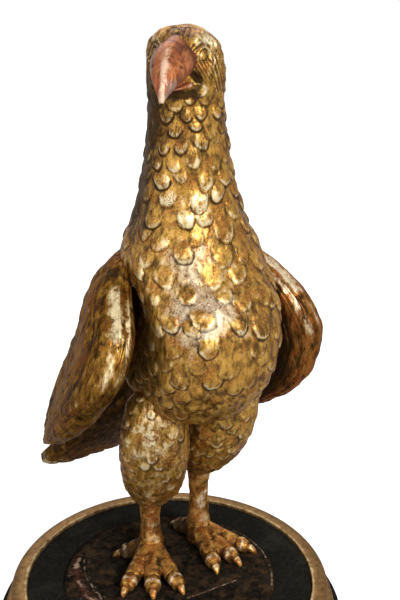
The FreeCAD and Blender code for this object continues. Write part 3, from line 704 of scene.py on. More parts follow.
def carved_piece(name, points, relief, material, slot, *nodes, normals=None):
    """A closed carved piece from a grid of points, with the rest of its relief as point values.

    Where a piece is a stretch of a longer surface, normals holds that surface's own, so that the
    shading runs on across the joint; the two caps' middles take their rows' mean."""
    values = {key: relief[key] for key in LAYERS}
    if normals is not None:
        normals = np.concatenate([normals.reshape(-1, 3), normals[:1].mean(axis=1), normals[-1:].mean(axis=1)])
        normals /= np.maximum(np.linalg.norm(normals, axis=1, keepdims=True), 1e-9)
    piece = make_mesh(name, *closed_skin(points, values), normals)
    return finished(piece, material, slot, *nodes)


# Feathers

def no_relief(like):
    """A relief with nothing carved yet: its height, cuts, tone, edges and rubbing."""
    return {key: np.zeros_like(like) for key in ("height", *LAYERS)}


def feather_rows(total, forms, girths, seed, above=1):
    """Rows of feathers down a piece: start, length, half width, count and stagger of each.

    Pitch between rows, spacing in a row, half width and length are read from a table by way down.
    The first row starts so many pitches above the top."""
    rng = np.random.default_rng(seed)
    table = np.array(forms, float) * MM
    rows, start, stagger = [], -above * table[0, 1], 0.0
    while start < total:
        pitch, spacing, half, length = (np.interp(max(start, 0), table[:, 0], form) for form in table.T[1:])
        count = max(6, round(float(np.interp(start, *girths) / spacing)))
        stagger += 0.5 + rng.uniform(-0.13, 0.13)
        rows.append((start, length, half, count, stagger))
        start += pitch
    return rows


def shingled(relief, share, girth, down, rows, seed, lift, barbed=0.0, crisp=1.0):
    """Cut rows of lobed feathers, upper rows over lower ones.

    A feather melts into the wood at its root, is straight-sided above and half an ellipse below,
    crowned across, and falls off round its tip, with a rubbed line inside the tip that is also a painted
    highlight, and a painted soft shadow outside it, as strong as crisp says. Each is shifted, scaled,
    leant, raised and toned a little by seeded numbers. Where barbed is over 0, fine lines fan out over it."""
    rng = np.random.default_rng(seed)
    middle_down, lift, barbed = down.mean(axis=1), lift + np.zeros_like(down), barbed + np.zeros_like(down)
    for start, length, wide, count, stagger in reversed(rows):
        touched = np.nonzero((middle_down > start - 0.3 * length) & (middle_down < start + 1.5 * length))[0]
        shift, sink, lean = (rng.uniform(-a, a, count) for a in (0.14, 0.24, 0.26))
        scale, raised, shade = rng.uniform(0.82, 1.16, count), rng.uniform(0.50, 1.10, count), rng.uniform(-1, 1, count)
        if not len(touched):
            continue
        part = slice(touched[0], touched[-1] + 1)
        spot = share[part] * count + stagger
        for neighbour in (1, 0):
            index = np.floor(spot - 0.5).astype(int) + neighbour
            which = index % count
            x = (spot - index - shift[which]) * girth[part] / count
            y = down[part] - start - sink[which] * length
            x, y = x + y * lean[which], y - x * lean[which]
            half = wide * scale[which]
            v = y / (length * scale[which])
            reach = np.hypot(x / half, np.clip((v - 0.50) / 0.50, 0, None))
            inside = (1 - reach) * half
            body = ease(inside, -0.9 * MM, 1.4 * MM) * ease(v, -0.05, 0.35)
            high = raised[which] * (0.2 + 0.8 * ease(v, -0.05, 0.70)) * (1 - 0.55 * np.clip(reach, 0, 1) ** 2.2)
            fan = 0.5 + 0.5 * np.cos(WHOLE_TURN * 2.6 * x / half / (0.45 + 0.55 * np.clip(v, 0, 1)))
            high = lift[part] * (high - 0.10 * barbed[part] * fan)
            # A painted soft shadow below each tip, laid as a cut, and a rubbed line inside the tip that is also a
            # painted highlight
            crevice = crisp * mound(inside + 0.7 * MM, 1.05 * MM) * ease(v, 0.30, 0.75) * raised[which]
            tip = ease(inside, -0.2 * MM, 1.2 * MM) * (1 - 0.62 * ease(inside, 1.5 * MM, 4.5 * MM))
            tip = tip * ease(v, 0.15, 0.80) * raised[which]
            fine = 0.55 * barbed[part] * (1 - fan) * body
            for key, value in (("cut", np.maximum(crevice, fine)), ("edge", tip)):
                relief[key][part] = np.maximum(relief[key][part] * (1 - body), value)
            relief["tone"][part] = span(relief["tone"][part], shade[which], body)
            under = relief["height"][part]
            relief["height"][part] = span(under, np.maximum(high, 0.3 * under), body)
    return relief


def long_feathers(relief, place, count, first, last, depth, where):
    """Cut long feathers side by side: place runs from 0 to 1 across them all.

    Over each feather the height rises in a straight line from its front edge to its rear edge and
    drops off there in a short curve, and a thin rib runs along its middle."""
    spot = (place - first) / (last - first) * count
    f = spot - np.floor(spot)
    rise = f * (1 - ease(f, 0.90, 1.0))
    cut = np.maximum(mound(f, 0.07), mound(f - 1, 0.07)) * where
    rib = mound(f - 0.5, 0.06) * where
    rng = np.random.default_rng(count)
    shade = rng.uniform(-1, 1, 4 * count)[np.floor(spot).astype(int) % (4 * count)]
    relief["height"] += where * (depth * (rise - 0.5) + 0.25 * depth * rib)
    relief["cut"] = np.maximum(relief["cut"], 0.8 * cut)
    relief["edge"] = np.maximum(relief["edge"], mound(f - 0.84, 0.09) * where)
    relief["tone"] = span(relief["tone"], shade, where)
    return relief


# The plumage of the trunk and the neck

def trunk_rings():
    """Sections of neck and trunk, from the head down to the belly."""
    rings = []
    for up, wide, mid, fore, rear, point in TRUNK_SHARES:
        sizes_here = (CHEST_HALF_WIDTH * wide, -CHEST_FORWARD * mid, CHEST_FORWARD * fore, CHEST_FORWARD * rear)
        rings.append(egg_ring(span(BELLY_HEIGHT, SHOULDER_HEIGHT, up), *sizes_here, point))
    shoulder = np.array([*sizes_here, point])
    top = np.array([NECK_RADIUS, -NECK_BACK, NECK_RADIUS, NECK_RADIUS, 1.0])
    for up, left in NECK_SHARES[1:]:
        rings.append(egg_ring(span(SHOULDER_HEIGHT, NECK_TOP_HEIGHT, up), *span(top, shoulder, left)))
    return rings[::-1]


def plumage_rows():
    """The rows of feathers from the back of the head to the belly."""
    _, girth, down = measures(surface(trunk_rings(), *TRUNK_ROUGH_GRID))
    return feather_rows(down[-1, 0], PLUMAGE_FORMS, (down.mean(axis=1), girth[:, 0]), 3, above=4)


def plumage(share, girth, down, places):
    """Rows of feathers: small and crowded under the head, large on the breast, faint on the belly.

    The rows wander a little, and the wood between them is uneven and drawn out downwards. The breast
    is pale with dust and a painted highlight, the neck's front and the right shoulder carry painted
    highlights, and painted shade darkens the sides, the top under the head and the neck's right side."""
    facing = np.abs(from_front(share))
    lift = sizes().feather_lift * (0.75 + 0.25 * ease(down, 0.02, 0.09)) * (1 - 0.35 * ease(down, 0.25, 0.32))
    lift = lift * (1 - 0.35 * ease(facing, 0.16, 0.30))
    barbed = 0.9 * mound(down - 0.035, 0.02) + 0.35 * mound(down - 0.12, 0.03)
    across = share + (2.2 * MM * waviness(places, 15, 42 * MM) + 0.6 * MM * waviness(places, 16, 10 * MM)) / girth
    along = down + 2.2 * MM * waviness(places, 17, 38 * MM) + 0.6 * MM * waviness(places, 18, 9 * MM)
    relief = shingled(no_relief(share), across, girth, along, plumage_rows(), 7, lift, barbed, 0.78)
    between = 1 - ease(relief["height"] / lift, 0.15, 0.5)
    uneven = waviness(places, 11, 60 * MM)
    drawn = waviness(places * np.array([1, 1, 0.16]), 12, 6 * MM)
    relief["height"] += MM * (0.5 * uneven + 0.25 * drawn) - 0.42 * sizes().feather_lift
    centre = from_front(share + BREAST_ASIDE_SHARE)
    # Painted shade darkens the sides away from the front, the top under the head and the neck's right side; it is
    # darker towards the belly, and drawn streaks are dirt
    relief["cut"] += 0.20 * ease(np.abs(centre), 0.10, 0.24) + 0.10 * ease(drawn, 0.3, 0.9)
    relief["cut"] += 0.25 * (1 - ease(down, 0.015, 0.05)) + 0.10 * ease(down, 0.20, 0.26)
    right_neck_shade = ease(-centre, 0.07, 0.16) * (1 - 0.6 * ease(-centre, 0.22, 0.36))
    relief["cut"] += 0.50 * right_neck_shade * (1 - ease(down + 6 * MM * drawn, 0.09, 0.15))
    relief["cut"] = np.clip(relief["cut"], 0, 1)
    # The pale breast is dust, and also a painted highlight
    breast = mound(centre, 0.13) * ease(down, 0.09, 0.13) * (1 - ease(down, 0.20, 0.25)) * (0.28 + 0.35 * between)
    relief["rub"] = np.clip(breast * (1 + 0.5 * uneven) + 0.25 * mound(centre, 0.10) * mound(down - 0.19, 0.04), 0, 1)
    relief["height"] += FLANK_FULLNESS * mound(centre - BREAST_ASIDE_SHARE + 0.345, 0.06) * mound(down - 0.286, 0.028)
    # Painted highlights on the front of the neck and on the right shoulder and chest
    shone = mound(centre, 0.10) * mound(down - 0.078, 0.035) * (1 - 0.5 * between)
    flank = mound(centre + 0.17, 0.07) * ease(down, 0.10, 0.14) * (1 - ease(down, 0.22, 0.26))
    relief["edge"] = np.clip(relief["edge"] + 0.9 * shone + 0.4 * flank, 0, 1.2)
    return relief


# The head

def head_rings():
    """Sections of the skull, from the crown down, in its own place before it is turned."""
    rings = []
    for up, wide, mid, long in HEAD_SHARES:
        length = HEAD_HALF_LENGTH * long
        rings.append(egg_ring(HEAD_HEIGHT * up, NECK_RADIUS * wide, -HEAD_HALF_LENGTH * mid, length, length))
    return rings[::-1]


def on_neck(points):
    """Points of the head, turned as it is on the neck and set over it."""
    return turned(points, -quarter(HEAD_TURN_SHARE)) + np.array([0, -NECK_BACK, NECK_TOP_HEIGHT]) + STAND


def away(out, up, place, wide=1.0):
    """The distance from a place on the skull, counted less round it where wide is over 1."""
    return np.hypot((out - place[0]) / wide, up - place[1])


def strands(out, up, way, pitch, bend):
    """Even waves across a direction on the skull, between -1 and 1, bent a little."""
    return np.sin(WHOLE_TURN * (way[0] * out + way[1] * up) / pitch + bend)


def head_relief(grid):
    """Brow, eye, lids, lores, gape, cheeks and crown, as ridges and dips about places on the skull.

    A place is so many millimetres round from the beak's line and up from the neck."""
    share, girth, down = measures(grid)
    signed = from_front(share) * girth / MM
    out, up = np.abs(signed), grid[..., 2] / MM
    girths = (down.mean(axis=1), girth[:, 0])
    rows = feather_rows(HEAD_FEATHERED, HEAD_FORMS, girths, 5)
    relief = shingled(no_relief(share), share, girth, down, rows, 9, 1.3 * MM)
    behind = ease(out, 52, 64) * (1 - ease(up, 50, 58))
    for key in relief:
        relief[key] *= behind
    brow_line = BROW_LEVEL - 0.032 * np.clip(out - 24, 0, None) ** 2
    brow = mound(up - brow_line, 4.4) * ease(out, 9, 18) * (1 - ease(out, 42, 54))
    from_eye, from_lid = away(out, up, EYE_PLACE), away(out, up, LID_PLACE)
    socket = mound(away(out, up, SOCKET_PLACE, 1.3), 8.5)
    ball = np.sqrt(np.clip(1 - (from_eye / EYE_RADIUS) ** 2, 0, 1))
    above = ease(up - LID_PLACE[1] + 0.6 * (out - LID_PLACE[0]), -5, 4) * (1 - ease(out, 44, 52))
    lids = (mound(from_lid - 14.0, 1.3) + mound(from_lid - 10.8, 1.1)) * above + mound(from_eye - 5.6, 0.9)
    lid_cuts = (mound(from_lid - 12.4, 0.8) + mound(from_lid - 16.2, 1.0)) * above + mound(from_eye - 4.8, 0.7)
    lore = ease(out, 14, 18) * (1 - ease(out, 33, 40)) * ease(up, 19, 26) * (1 - ease(up, 38, 44))
    drawn = strands(out - 21, up - 42.8, LORE_WAY, LORE_PITCH, waviness(grid, 24, 30 * MM))
    cheek = ease(out, 33, 39) * (1 - ease(out, 56, 66)) * ease(up, 4, 14) * (1 - ease(up, 50, 57))
    combed = strands(out, up, CHEEK_WAY, CHEEK_PITCH, 1.5 * waviness(grid, 21, 24 * MM))
    behind_gape, below_gape = out - GAPE_PLACE[0], GAPE_PLACE[1] - up
    along = GAPE_WAY[0] * behind_gape + GAPE_WAY[1] * below_gape
    off = GAPE_WAY[1] * behind_gape - GAPE_WAY[0] * below_gape
    gape = mound(np.hypot(along / 2.3, off), 2.9)
    from_jaw = np.hypot((out - JAW_PLACE[0]) / 8, (up - JAW_PLACE[1]) / 6)
    jaw = mound((from_jaw - 1) * 7, 1.7) * ease(out, 10, 16)
    crown = ease(up, 48, 57) * (1 - ease(out, 34, 46))
    parting = mound(signed, 1.0) * ease(up, 56, 60)
    combs = strands(signed, up, (1, 0), CROWN_PITCH, 2.0 * waviness(grid, 22, 22 * MM))
    chin = (1 - ease(out, 14, 24)) * (1 - ease(up, 12, 20))
    throat = mound(up - 6.5 - 0.10 * out, 1.8) * (1 - ease(out, 16, 28))
    throat += 0.6 * mound(up - 11.5, 1.2) * (1 - ease(out, 12, 20))
    uneven = waviness(grid, 23, 26 * MM)
    high = sizes().brow_lift * brow - 3.2 * MM * socket + 2.5 * MM * ball + 1.0 * MM * lids
    high += MM * (0.45 * cheek * combed + 0.40 * lore * drawn + 0.25 * crown * combs) - 1.5 * MM * throat
    high += 1.5 * MM * jaw - 5.0 * MM * gape - 0.5 * MM * parting - 0.8 * MM * chin
    relief["height"] += high + 0.5 * MM * uneven - 0.6 * MM - 0.4 * MM * ease(up, 56, 62)
    # Painted shade in the gape, in the eye socket, under the beak and chin, in the throat's crease and on the head's
    # right side; the lid and strand lines, the parting and the crown are dark, and it darkens towards the back
    cuts = 0.52 * lid_cuts + 0.55 * cheek * ease(-combed, 0.2, 1) + 0.55 * lore * ease(-drawn, 0.1, 1) + 1.8 * gape
    cuts += 0.30 * (1 - ease(up, 16, 28)) * (1 - ease(out, 44, 56)) + 0.4 * parting + 0.28 * crown
    cuts += 0.35 * crown * ease(-combs, 0.3, 1) + 0.7 * chin + 0.8 * throat
    cuts += 0.32 * socket * (1 - ball) + 0.25 * ease(out, 40, 60) + 0.35 * ease(-signed, 14, 26)
    relief["cut"] = np.clip(np.maximum(relief["cut"], cuts * (1 - 0.8 * brow)), 0, 1)
    # A painted highlight on the brow, here as an edge and below as a pale patch; ridges, lids and eyeball are picked
    # out bright
    edges = 0.75 * brow + 0.75 * cheek * ease(combed, 0.2, 1) + 0.9 * jaw + 0.6 * lids + 0.4 * ball
    relief["edge"] = np.clip(relief["edge"] + edges + 0.6 * lore * ease(drawn, 0.2, 1), 0, 1)
    relief["rub"] = 0.9 * mound(away(signed, up, BROW_HIGHLIGHT_PLACE, 1.3), 7)
    relief["tone"] = relief["tone"] + 0.8 * uneven
    places = turned(grid, -quarter(HEAD_TURN_SHARE)) + np.array([0, -NECK_BACK, NECK_TOP_HEIGHT])
    about = np.arctan2(places[..., 0], -NECK_BACK - places[..., 1]) / WHOLE_TURN % 1
    below = plumage(about, WHOLE_TURN * NECK_RADIUS + 0 * share, -grid[..., 2], places)
    own = ease(up + 1.5 * uneven, 2, span(10, 16, ease(out, 30, 60)))
    return {key: span(below[key], relief[key], own) for key in relief}


def upper_beak_rings():
    """Sections of the hooked upper half of the beak, before it is turned with the head."""
    stations = [(-span(BEAK_ROOT, BEAK_REACH, out), BEAK_LEVEL - BEAK_DROP * fall,
                 BEAK_HALF_WIDTH * wide, BEAK_HALF_HEIGHT * high) for out, fall, wide, high in BEAK_SHARES]
    return horn_rings(stations, BEAK_RIDGE_SHARE, BEAK_FULL_SHARE, BEAK_ASIDE)


def lower_beak_rings():
    """Sections of the lower half of the beak, before it is turned with the head."""
    return horn_rings([(-span(BEAK_ROOT, JAW_REACH, out), JAW_LEVEL - JAW_HALF_HEIGHT * fall,
                        JAW_HALF_WIDTH * wide, JAW_HALF_HEIGHT * high) for out, fall, wide, high in JAW_SHARES])


def beak_relief(grid):
    """A raised ridge with a painted highlight, nostrils, and long shallow knife marks down the horn.

    Signed is how far round from the ridge, in mm, positive on the eagle's left. The ridge and a band
    beside it carry a painted highlight, the left flank carries painted shade, the underside is darker,
    the right flank's edge is dusty, and so is the tip."""
    share, girth, down = measures(grid)
    signed = (0.5 - share) * girth / MM
    out, along = np.abs(signed), down / MM
    relief = no_relief(share)
    nostril = mound(np.hypot((out - 15) / 1.4, along - 36), 1.3)
    ridge = mound(signed - 0.5, 3.6) * ease(along, 14, 30)
    marks = waviness(np.stack([signed / 4, along / 30, 0 * out], axis=2), 31, 1.0)
    lip = mound(out - 0.36 * girth / MM, 1.4) * ease(along, 20, 30)
    relief["height"] += MM * (0.7 * ridge - 1.2 * nostril + 0.22 * marks + 0.4 * lip - 0.5)
    # Painted shade on the left flank; the root's line, the nostrils and the underside are darker
    left_flank_shade, right_edge = ease(signed, 4, 11), ease(-signed, 12, 18)
    cuts = 0.8 * nostril + 0.34 * left_flank_shade + 0.3 * right_edge + 0.4 * (1 - ease(along, 15, 23))
    relief["cut"] = np.clip(cuts + 0.25 * ease(marks, 0.5, 1.1) + 0.4 * ease(out / girth * MM, 0.36, 0.44), 0, 1)
    # Painted highlights on the ridge and beside it, and a pale lip
    shine = 1.3 * ridge * (0.75 + 0.25 * ease(along, 30, 48)) + 0.30 * mound(signed + 6, 4) + 0.4 * lip
    relief["edge"] = np.clip(shine, 0, 1.3)
    tip = ease(along, 40, 56) * (0.35 + 0.65 * ease(signed, 0, 4)) + 0.5 * ease(along, 60, 68)
    relief["rub"] = np.clip(tip + 0.9 * right_edge, 0, 1.2)
    relief["tone"] = 1.5 * marks
    return relief


def jaw_relief(grid):
    """The lower half of the beak: a thin pale rim, a groove under it, and knife marks."""
    share, _, _ = measures(grid)
    out = np.abs(from_front(share))
    relief = no_relief(share)
    marks = waviness(grid, 35, 7 * MM)
    relief["height"] = 0.3 * MM * marks - 0.4 * MM - 0.5 * MM * mound(out - 0.33, 0.03)
    relief["cut"] = np.clip(0.8 * mound(out - 0.33, 0.03) + 0.6 * ease(out, 0.36, 0.46), 0, 1)
    relief["edge"] = mound(out - 0.25, 0.05)
    relief["tone"] = marks
    return relief


# The wings

def wing_ring(row, side):
    """A level section of the wing: a roll in front, a bend round the flank and a thin rear edge."""
    down, nose_out, nose_back, nose_size, bend_out, bend_back, thin, rear_out, rear_back, root = row
    nose = np.array([WING_SPREAD * nose_out, WING_FORWARD * nose_back])
    bend = np.array([WING_SPREAD * bend_out, WING_BACK * bend_back])
    rear = np.array([WING_SPREAD * rear_out, WING_BACK * rear_back])
    roll, half = WING_ROLL_RADIUS * nose_size, WING_THICKNESS * thin / 2
    way = np.array(WING_WAY_SHARES)[:, None]
    place = nose * (1 - way) ** 2 + bend * (2 * way * (1 - way)) + rear * way ** 2
    along = (bend - nose) * (1 - way) + (rear - bend) * way
    along /= np.linalg.norm(along, axis=1, keepdims=True)
    out = np.stack([along[:, 1], -along[:, 0]], axis=1)
    left = 1 - np.minimum(way / WING_THINNED_SHARE, 1)
    thick = span(half, roll, left * left * (3 - 2 * left)) * span(1, 0.5, way ** 3)
    depth = WING_ROOT_DEPTH * root * np.sin(math.pi * way) ** 2
    front = (nose - bend) / np.linalg.norm(nose - bend)
    across = np.array([-front[1], front[0]])
    turn = math.pi * (np.arange(ROLL_POINTS) + 1)[:, None] / (ROLL_POINTS + 1)
    cap = nose + front * (roll * np.sin(turn)) - across * (roll * np.cos(turn))
    end = rear + (rear - bend) / np.linalg.norm(rear - bend) * (half / 2)
    ring = np.concatenate([cap, place + out * thick, end[None], (place - out * (thick + depth))[::-1]])
    if side == "left":
        ring = ring - np.array([LEFT_WING_TUCK, LEFT_WING_LEAD]) * ease(down, LEAD_START_SHARE, LEAD_END_SHARE)
    height = np.full((len(ring), 1), span(WING_TOP_HEIGHT, WING_TIP_HEIGHT, down))
    return np.concatenate([ring * np.array([side_sign(side), 1]), height], axis=1)


def wing_relief(grid):
    """A smooth cracked roll in front; behind it, rows of short coverts above long flight feathers.

    Across is the share of the way from the roll's front to the rear edge, outside or inside."""
    share, girth, down = measures(grid)
    places = share.shape[1]
    points = 2 * len(WING_WAY_SHARES) + ROLL_POINTS + 1
    nose = share[:, [places * (ROLL_POINTS // 2) // points]]
    end = share[:, [places * (ROLL_POINTS + len(WING_WAY_SHARES)) // points]]
    outer_width = (end - nose) * girth
    past = (share - nose) % 1
    outside = past <= end - nose
    across = np.where(outside, past / (end - nose), (1 - past) / (1 - end + nose))
    reach = across * outer_width
    fall = down / down[-1, 0]
    relief = no_relief(share)
    behind_roll = ease(reach, *ROLL_EDGE)
    flight = behind_roll * ease(fall, 0.22, 0.34) * np.where(outside, 1, 0.6)
    place = across + 0.05 * np.sin(4 * fall)
    long_feathers(relief, place, FLIGHT_FEATHERS, 0.22, 1.0, 0.8 * sizes().quill_depth, flight)
    girths = (down.mean(axis=1), outer_width[:, 0])
    rows = feather_rows(COVERTS_END, COVERT_FORMS, girths, 13)
    coverts = shingled({key: value.copy() for key, value in relief.items()}, across, outer_width + 0 * share, down,
                       rows, 17, 1.3 * MM, 0.0, 0.45)
    covered = behind_roll * (1 - ease(fall, 0.50, 0.56)) * outside
    for key in relief:
        relief[key] = span(relief[key], coverts[key], covered)
    grain = waviness(np.stack([reach / (9 * MM), down / (90 * MM), 0 * down], axis=2), 41, 1.0)
    crack = mound(waviness(np.stack([reach / (16 * MM), down / (150 * MM), 1 + 0 * down], axis=2), 43, 1.0), 0.05)
    smooth = 1 - behind_roll
    relief["height"] += 0.5 * MM * grain * smooth + 0.8 * MM * waviness(grid, 42, 45 * MM) - 0.9 * MM
    relief["height"] += 0.5 * MM * waviness(grid * np.array([1, 1, 0.4]), 44, 14 * MM)
    relief["height"] -= 0.5 * MM * crack * smooth
    wander = down + 5 * MM * waviness(grid, 46, 60 * MM)
    tips = ease(across, 0.90, 1.0) * (0.5 - 0.5 * np.cos(WHOLE_TURN * wander / (17 * MM))) * ease(fall, 0.15, 0.3)
    relief["height"] -= 2.2 * MM * tips
    relief["cut"] = np.clip(relief["cut"] + 0.75 * crack * smooth + 0.5 * tips, 0, 1)
    inner_shade = np.where(outside, 0, ease(across, 0.07, 0.18))
    relief["cut"] = np.maximum(relief["cut"], inner_shade * span(0.80, 1.0, ease(fall, 0.35, 0.55)))
    relief["tone"] = relief["tone"] + 0.8 * grain * smooth
    lit = 1.3 * mound(reach - 9 * MM, 7 * MM) * ease(fall, 0.03, 0.08) * (1 - ease(fall, 0.17, 0.22))
    lit += 0.7 * mound(reach - 11 * MM, 6 * MM) * ease(fall, 0.205, 0.22) * (1 - ease(fall, 0.30, 0.36))
    lit = outside * (lit + 0.6 * mound(reach - 26 * MM, 9 * MM) * mound(fall - 0.42, 0.05))
    inner_lit = mound(reach - 4 * MM, 6 * MM) * ease(fall, 0.05, 0.12) * (1 - ease(fall, 0.30, 0.42))
    inner_lit = np.where(outside, 0, inner_lit)
    relief["edge"] = 0.5 * relief["edge"] + smooth * (lit + 0.9 * inner_lit + 0.25 * ease(grain, 0.2, 0.9))
    relief["edge"] = np.clip(relief["edge"], 0, 1.4)
    shade = np.where(outside, 0.28 * ease(reach, 14 * MM, 30 * MM), 0) + 0.25 * smooth * ease(-grain, 0, 0.7)
    shade = shade + outside * (0.6 * mound(fall - 0.025, 0.010) * (1 - ease(reach, 20 * MM, 34 * MM))
                                 + 0.35 * mound(reach + 2 * MM, 3 * MM))
    gash = mound(fall - 0.205 - 0.01 * grain, 0.004) * mound(reach - 6 * MM, 9 * MM) * outside
    relief["height"] += 2.4 * MM * mound(reach, 9 * MM) * mound(fall - 0.27, 0.06) - 0.8 * MM * gash
    relief["cut"] = np.clip(relief["cut"] + shade * np.clip(1 - lit, 0, 1) + 0.8 * gash, 0, 1)
    rear = ease(across + 0.05 * waviness(grid, 47, 30 * MM), 0.62, 0.84) * ease(fall, 0.42, 0.60) * outside
    relief["rub"], relief["cut"] = 0.8 * rear, relief["cut"] * (1 - 0.4 * rear)
    return relief


# The tail

def tail_way():
    """The direction from the tail's root to its end."""
    way = np.subtract(TAIL_END, TAIL_ROOT)
    return way / np.linalg.norm(way)


def tail_rings():
    """Sections of the fan from its root to its end, cupped so that its corners stand further back."""
    root, end = np.array(TAIL_ROOT), np.array(TAIL_END)
    behind = np.cross([1, 0, 0], tail_way())
    turn = turns(SECTION_POINTS)[:, None]
    rings = []
    for fall, wide, thin in TAIL_SHARES:
        x = span(TAIL_ROOT_HALF_WIDTH, TAIL_END_HALF_WIDTH, wide) * np.sin(turn)
        half = span(TAIL_ROOT_THICKNESS, TAIL_END_THICKNESS, thin) / 2
        depth = half * np.sign(np.cos(turn)) * np.abs(np.cos(turn)) ** TAIL_EDGE_SHARE
        cup = TAIL_CUP * (x / TAIL_END_HALF_WIDTH) ** 2
        rings.append(root + (end - root) * fall + x * np.array([1, 0, 0]) + (depth + cup) * behind)
    return rings


def tail_piece(grid):
    """Long feathers side by side: the grid with rounded feather ends, and its relief.

    The corner on the eagle's right is thicker than the rest, and paler, with a painted highlight at its end; the side
    facing forward carries painted shade."""
    share, _, down = measures(grid)
    fall = down / down[-1, 0]
    half_width = grid[..., 0].max(axis=1, keepdims=True)
    place = (grid[..., 0] / half_width + 1) / 2
    f = place * TAIL_FEATHERS % 1
    notch = (2 * f - 1) ** 4 * 2.5 * MM * ease(fall, 0.85, 1.0)
    grid = grid - notch[..., None] * tail_way()
    facing = outward(grid)[..., 2]
    corner = ease(fall, 0.62, 0.95) * mound(grid[..., 0] - CORNER_PLACE, CORNER_WIDTH)
    grid[..., 2] += corner * (CORNER_RISE * ease(facing, 0, 0.5) - CORNER_FALL * ease(-facing, 0, 0.5))
    where = ease(fall, 0.1, 0.25)
    relief = long_feathers(no_relief(share), place, TAIL_FEATHERS, 0, 1, 0.7 * sizes().quill_depth, where)
    relief["height"] += 0.5 * MM * waviness(grid, 51, 40 * MM) - 0.5 * MM
    # Darker all over, and painted shade on the side facing forward
    front = (np.abs(from_front(share)) > 0.25) * 1.0
    relief["cut"] = np.clip(relief["cut"] + 0.20 + 0.40 * front * (1 - ease(fall, 0.80, 0.97)), 0, 1)
    # A painted highlight at the end of the right corner
    shine = 0.9 * ease(fall, 0.90, 0.98) * ease(-grid[..., 0], 0.04, 0.07)
    relief["edge"] = np.clip(0.4 * relief["edge"] + shine, 0, 1)
    relief["cut"] *= 1 - 0.6 * corner
    return grid, relief


# The legs

def leg_place(side, forward, outward_by, height):
    """A point on a leg: forward and outward of the shank."""
    return np.array([side_sign(side) * (SHANK_SPREAD + outward_by), -forward, height])


def thigh_rings(side):
    """Sections of the thigh, from the belly down to the shank."""
    rings = []
    for up, size, lean, splay in THIGH_SHARES:
        height = span(SHANK_HEIGHTS[side], THIGH_TOP_HEIGHT, up)
        rings.append(leg_place(side, THIGH_LEAN * lean, THIGH_SPLAY * splay, height) + circle() * THIGH_RADIUS * size)
    domed = [rings[-1].mean(axis=0) * (1 - keep) + rings[-1] * keep + np.array([0, 0, rise * MM])
             for keep, rise in ((0.8, 6), (0.3, 9))]
    return (rings + domed)[::-1]


def thigh_relief(grid, side):
    """Small crowded feathers, like scales, and a pale patch in front that is dust and a painted highlight, with a
    painted highlight down the front.
    """
    share, girth, down = measures(grid)
    seed = THIGH_SEEDS[side]
    rows = feather_rows(down[-1, 0], THIGH_FORMS, (down.mean(axis=1), girth[:, 0]), seed)
    wander = 1.6 * MM * waviness(grid, seed + 3, 22 * MM)
    relief = shingled(no_relief(share), share + wander / girth, girth, down + wander, rows, seed,
                      sizes().thigh_lift, 0.0, 0.7)
    relief["height"] += MM * (0.7 * waviness(grid, seed, 28 * MM) + 0.3 * waviness(grid, seed + 1, 9 * MM) - 0.7)
    relief["cut"] = np.clip(relief["cut"] + 0.15 * ease(waviness(grid, seed + 2, 18 * MM), 0, 0.8), 0, 1)
    facing = from_front(share + THIGH_ASIDE_SHARE)
    # A pale patch in front, both dust and a painted highlight, and a painted highlight down the front
    relief["rub"] = mound(facing, 0.13) * mound(down - 0.045, 0.035) * THIGH_DUST_AND_HIGHLIGHT[side]
    relief["edge"] = np.clip(0.8 * relief["edge"] + THIGH_SHINE[side] * mound(facing, 0.16), 0, 1)
    return relief


def shank_rings(side):
    """Sections of the bare lower leg: widest at the ankle, narrow at half its height."""
    top = SHANK_HEIGHTS[side] + 3 * MM
    places = np.linspace(0, 1, 7)
    radius = span(SHANK_RADIUS, ANKLE_RADIUS, (1 - 2 * places) ** 2)
    start = ANKLE_HEIGHT - 3 * MM
    return [leg_place(side, 0, 0, span(start, top, up)) + circle() * r for up, r in zip(places, radius)][::-1]


def shank_relief(grid, seed):
    """Low plates across the front of the leg and knife marks all round."""
    share, _, down = measures(grid)
    facing = np.abs(from_front(share))
    plate = (down / (8 * MM) + 0.15 * waviness(grid, seed, 20 * MM)) % 1
    front = 1 - ease(facing, 0.15, 0.24)
    relief = no_relief(share)
    uneven = waviness(grid, seed + 1, 16 * MM)
    relief["height"] = 0.12 * MM * front * np.sin(math.pi * plate) + 0.45 * MM * uneven - 0.3 * MM
    relief["cut"] = 0.22 * front * np.maximum(mound(plate, 0.10), mound(plate - 1, 0.10))
    relief["tone"] = waviness(grid, seed + 2, 22 * MM)
    relief["edge"] = 0.3 * front * mound(plate - 0.6, 0.2) + 0.45 * mound(facing, 0.16)
    relief["rub"] = 0.5 * mound(facing, 0.12) * mound(down - 0.5 * down.max(), 0.02)
    return relief


def toe_turns(side):
    """How far each toe is turned from straight ahead, with its length; the last points backwards."""
    sign = side_sign(side)
    turns = [(sign * quarter(LEG_TURN_SHARES[side]) + quarter(share), TOE_LENGTHS[side]) for share in TOE_ANGLES_SHARE]
    return turns + [(math.pi + sign * quarter(HALLUX_TURN_SHARES[side]), HALLUX_LENGTH)]


def toe_rings(length):
    """Sections of a toe's stem and of its talon, before it is turned: knuckles swell along the stem."""
    stem = [(-length * out, TOE_HEIGHT * high, TOE_RADIUS * size, TOE_RADIUS * size) for out, high, size in TOE_SHARES]
    end_y, end_z = stem[-1][:2]
    tip = [(end_y + TALON_RADIUS - TALON_LENGTH * out, end_z * high, TALON_RADIUS * size, TALON_RADIUS * size)
           for out, high, size in TALON_SHARES]
    return horn_rings(stem), horn_rings(tip)


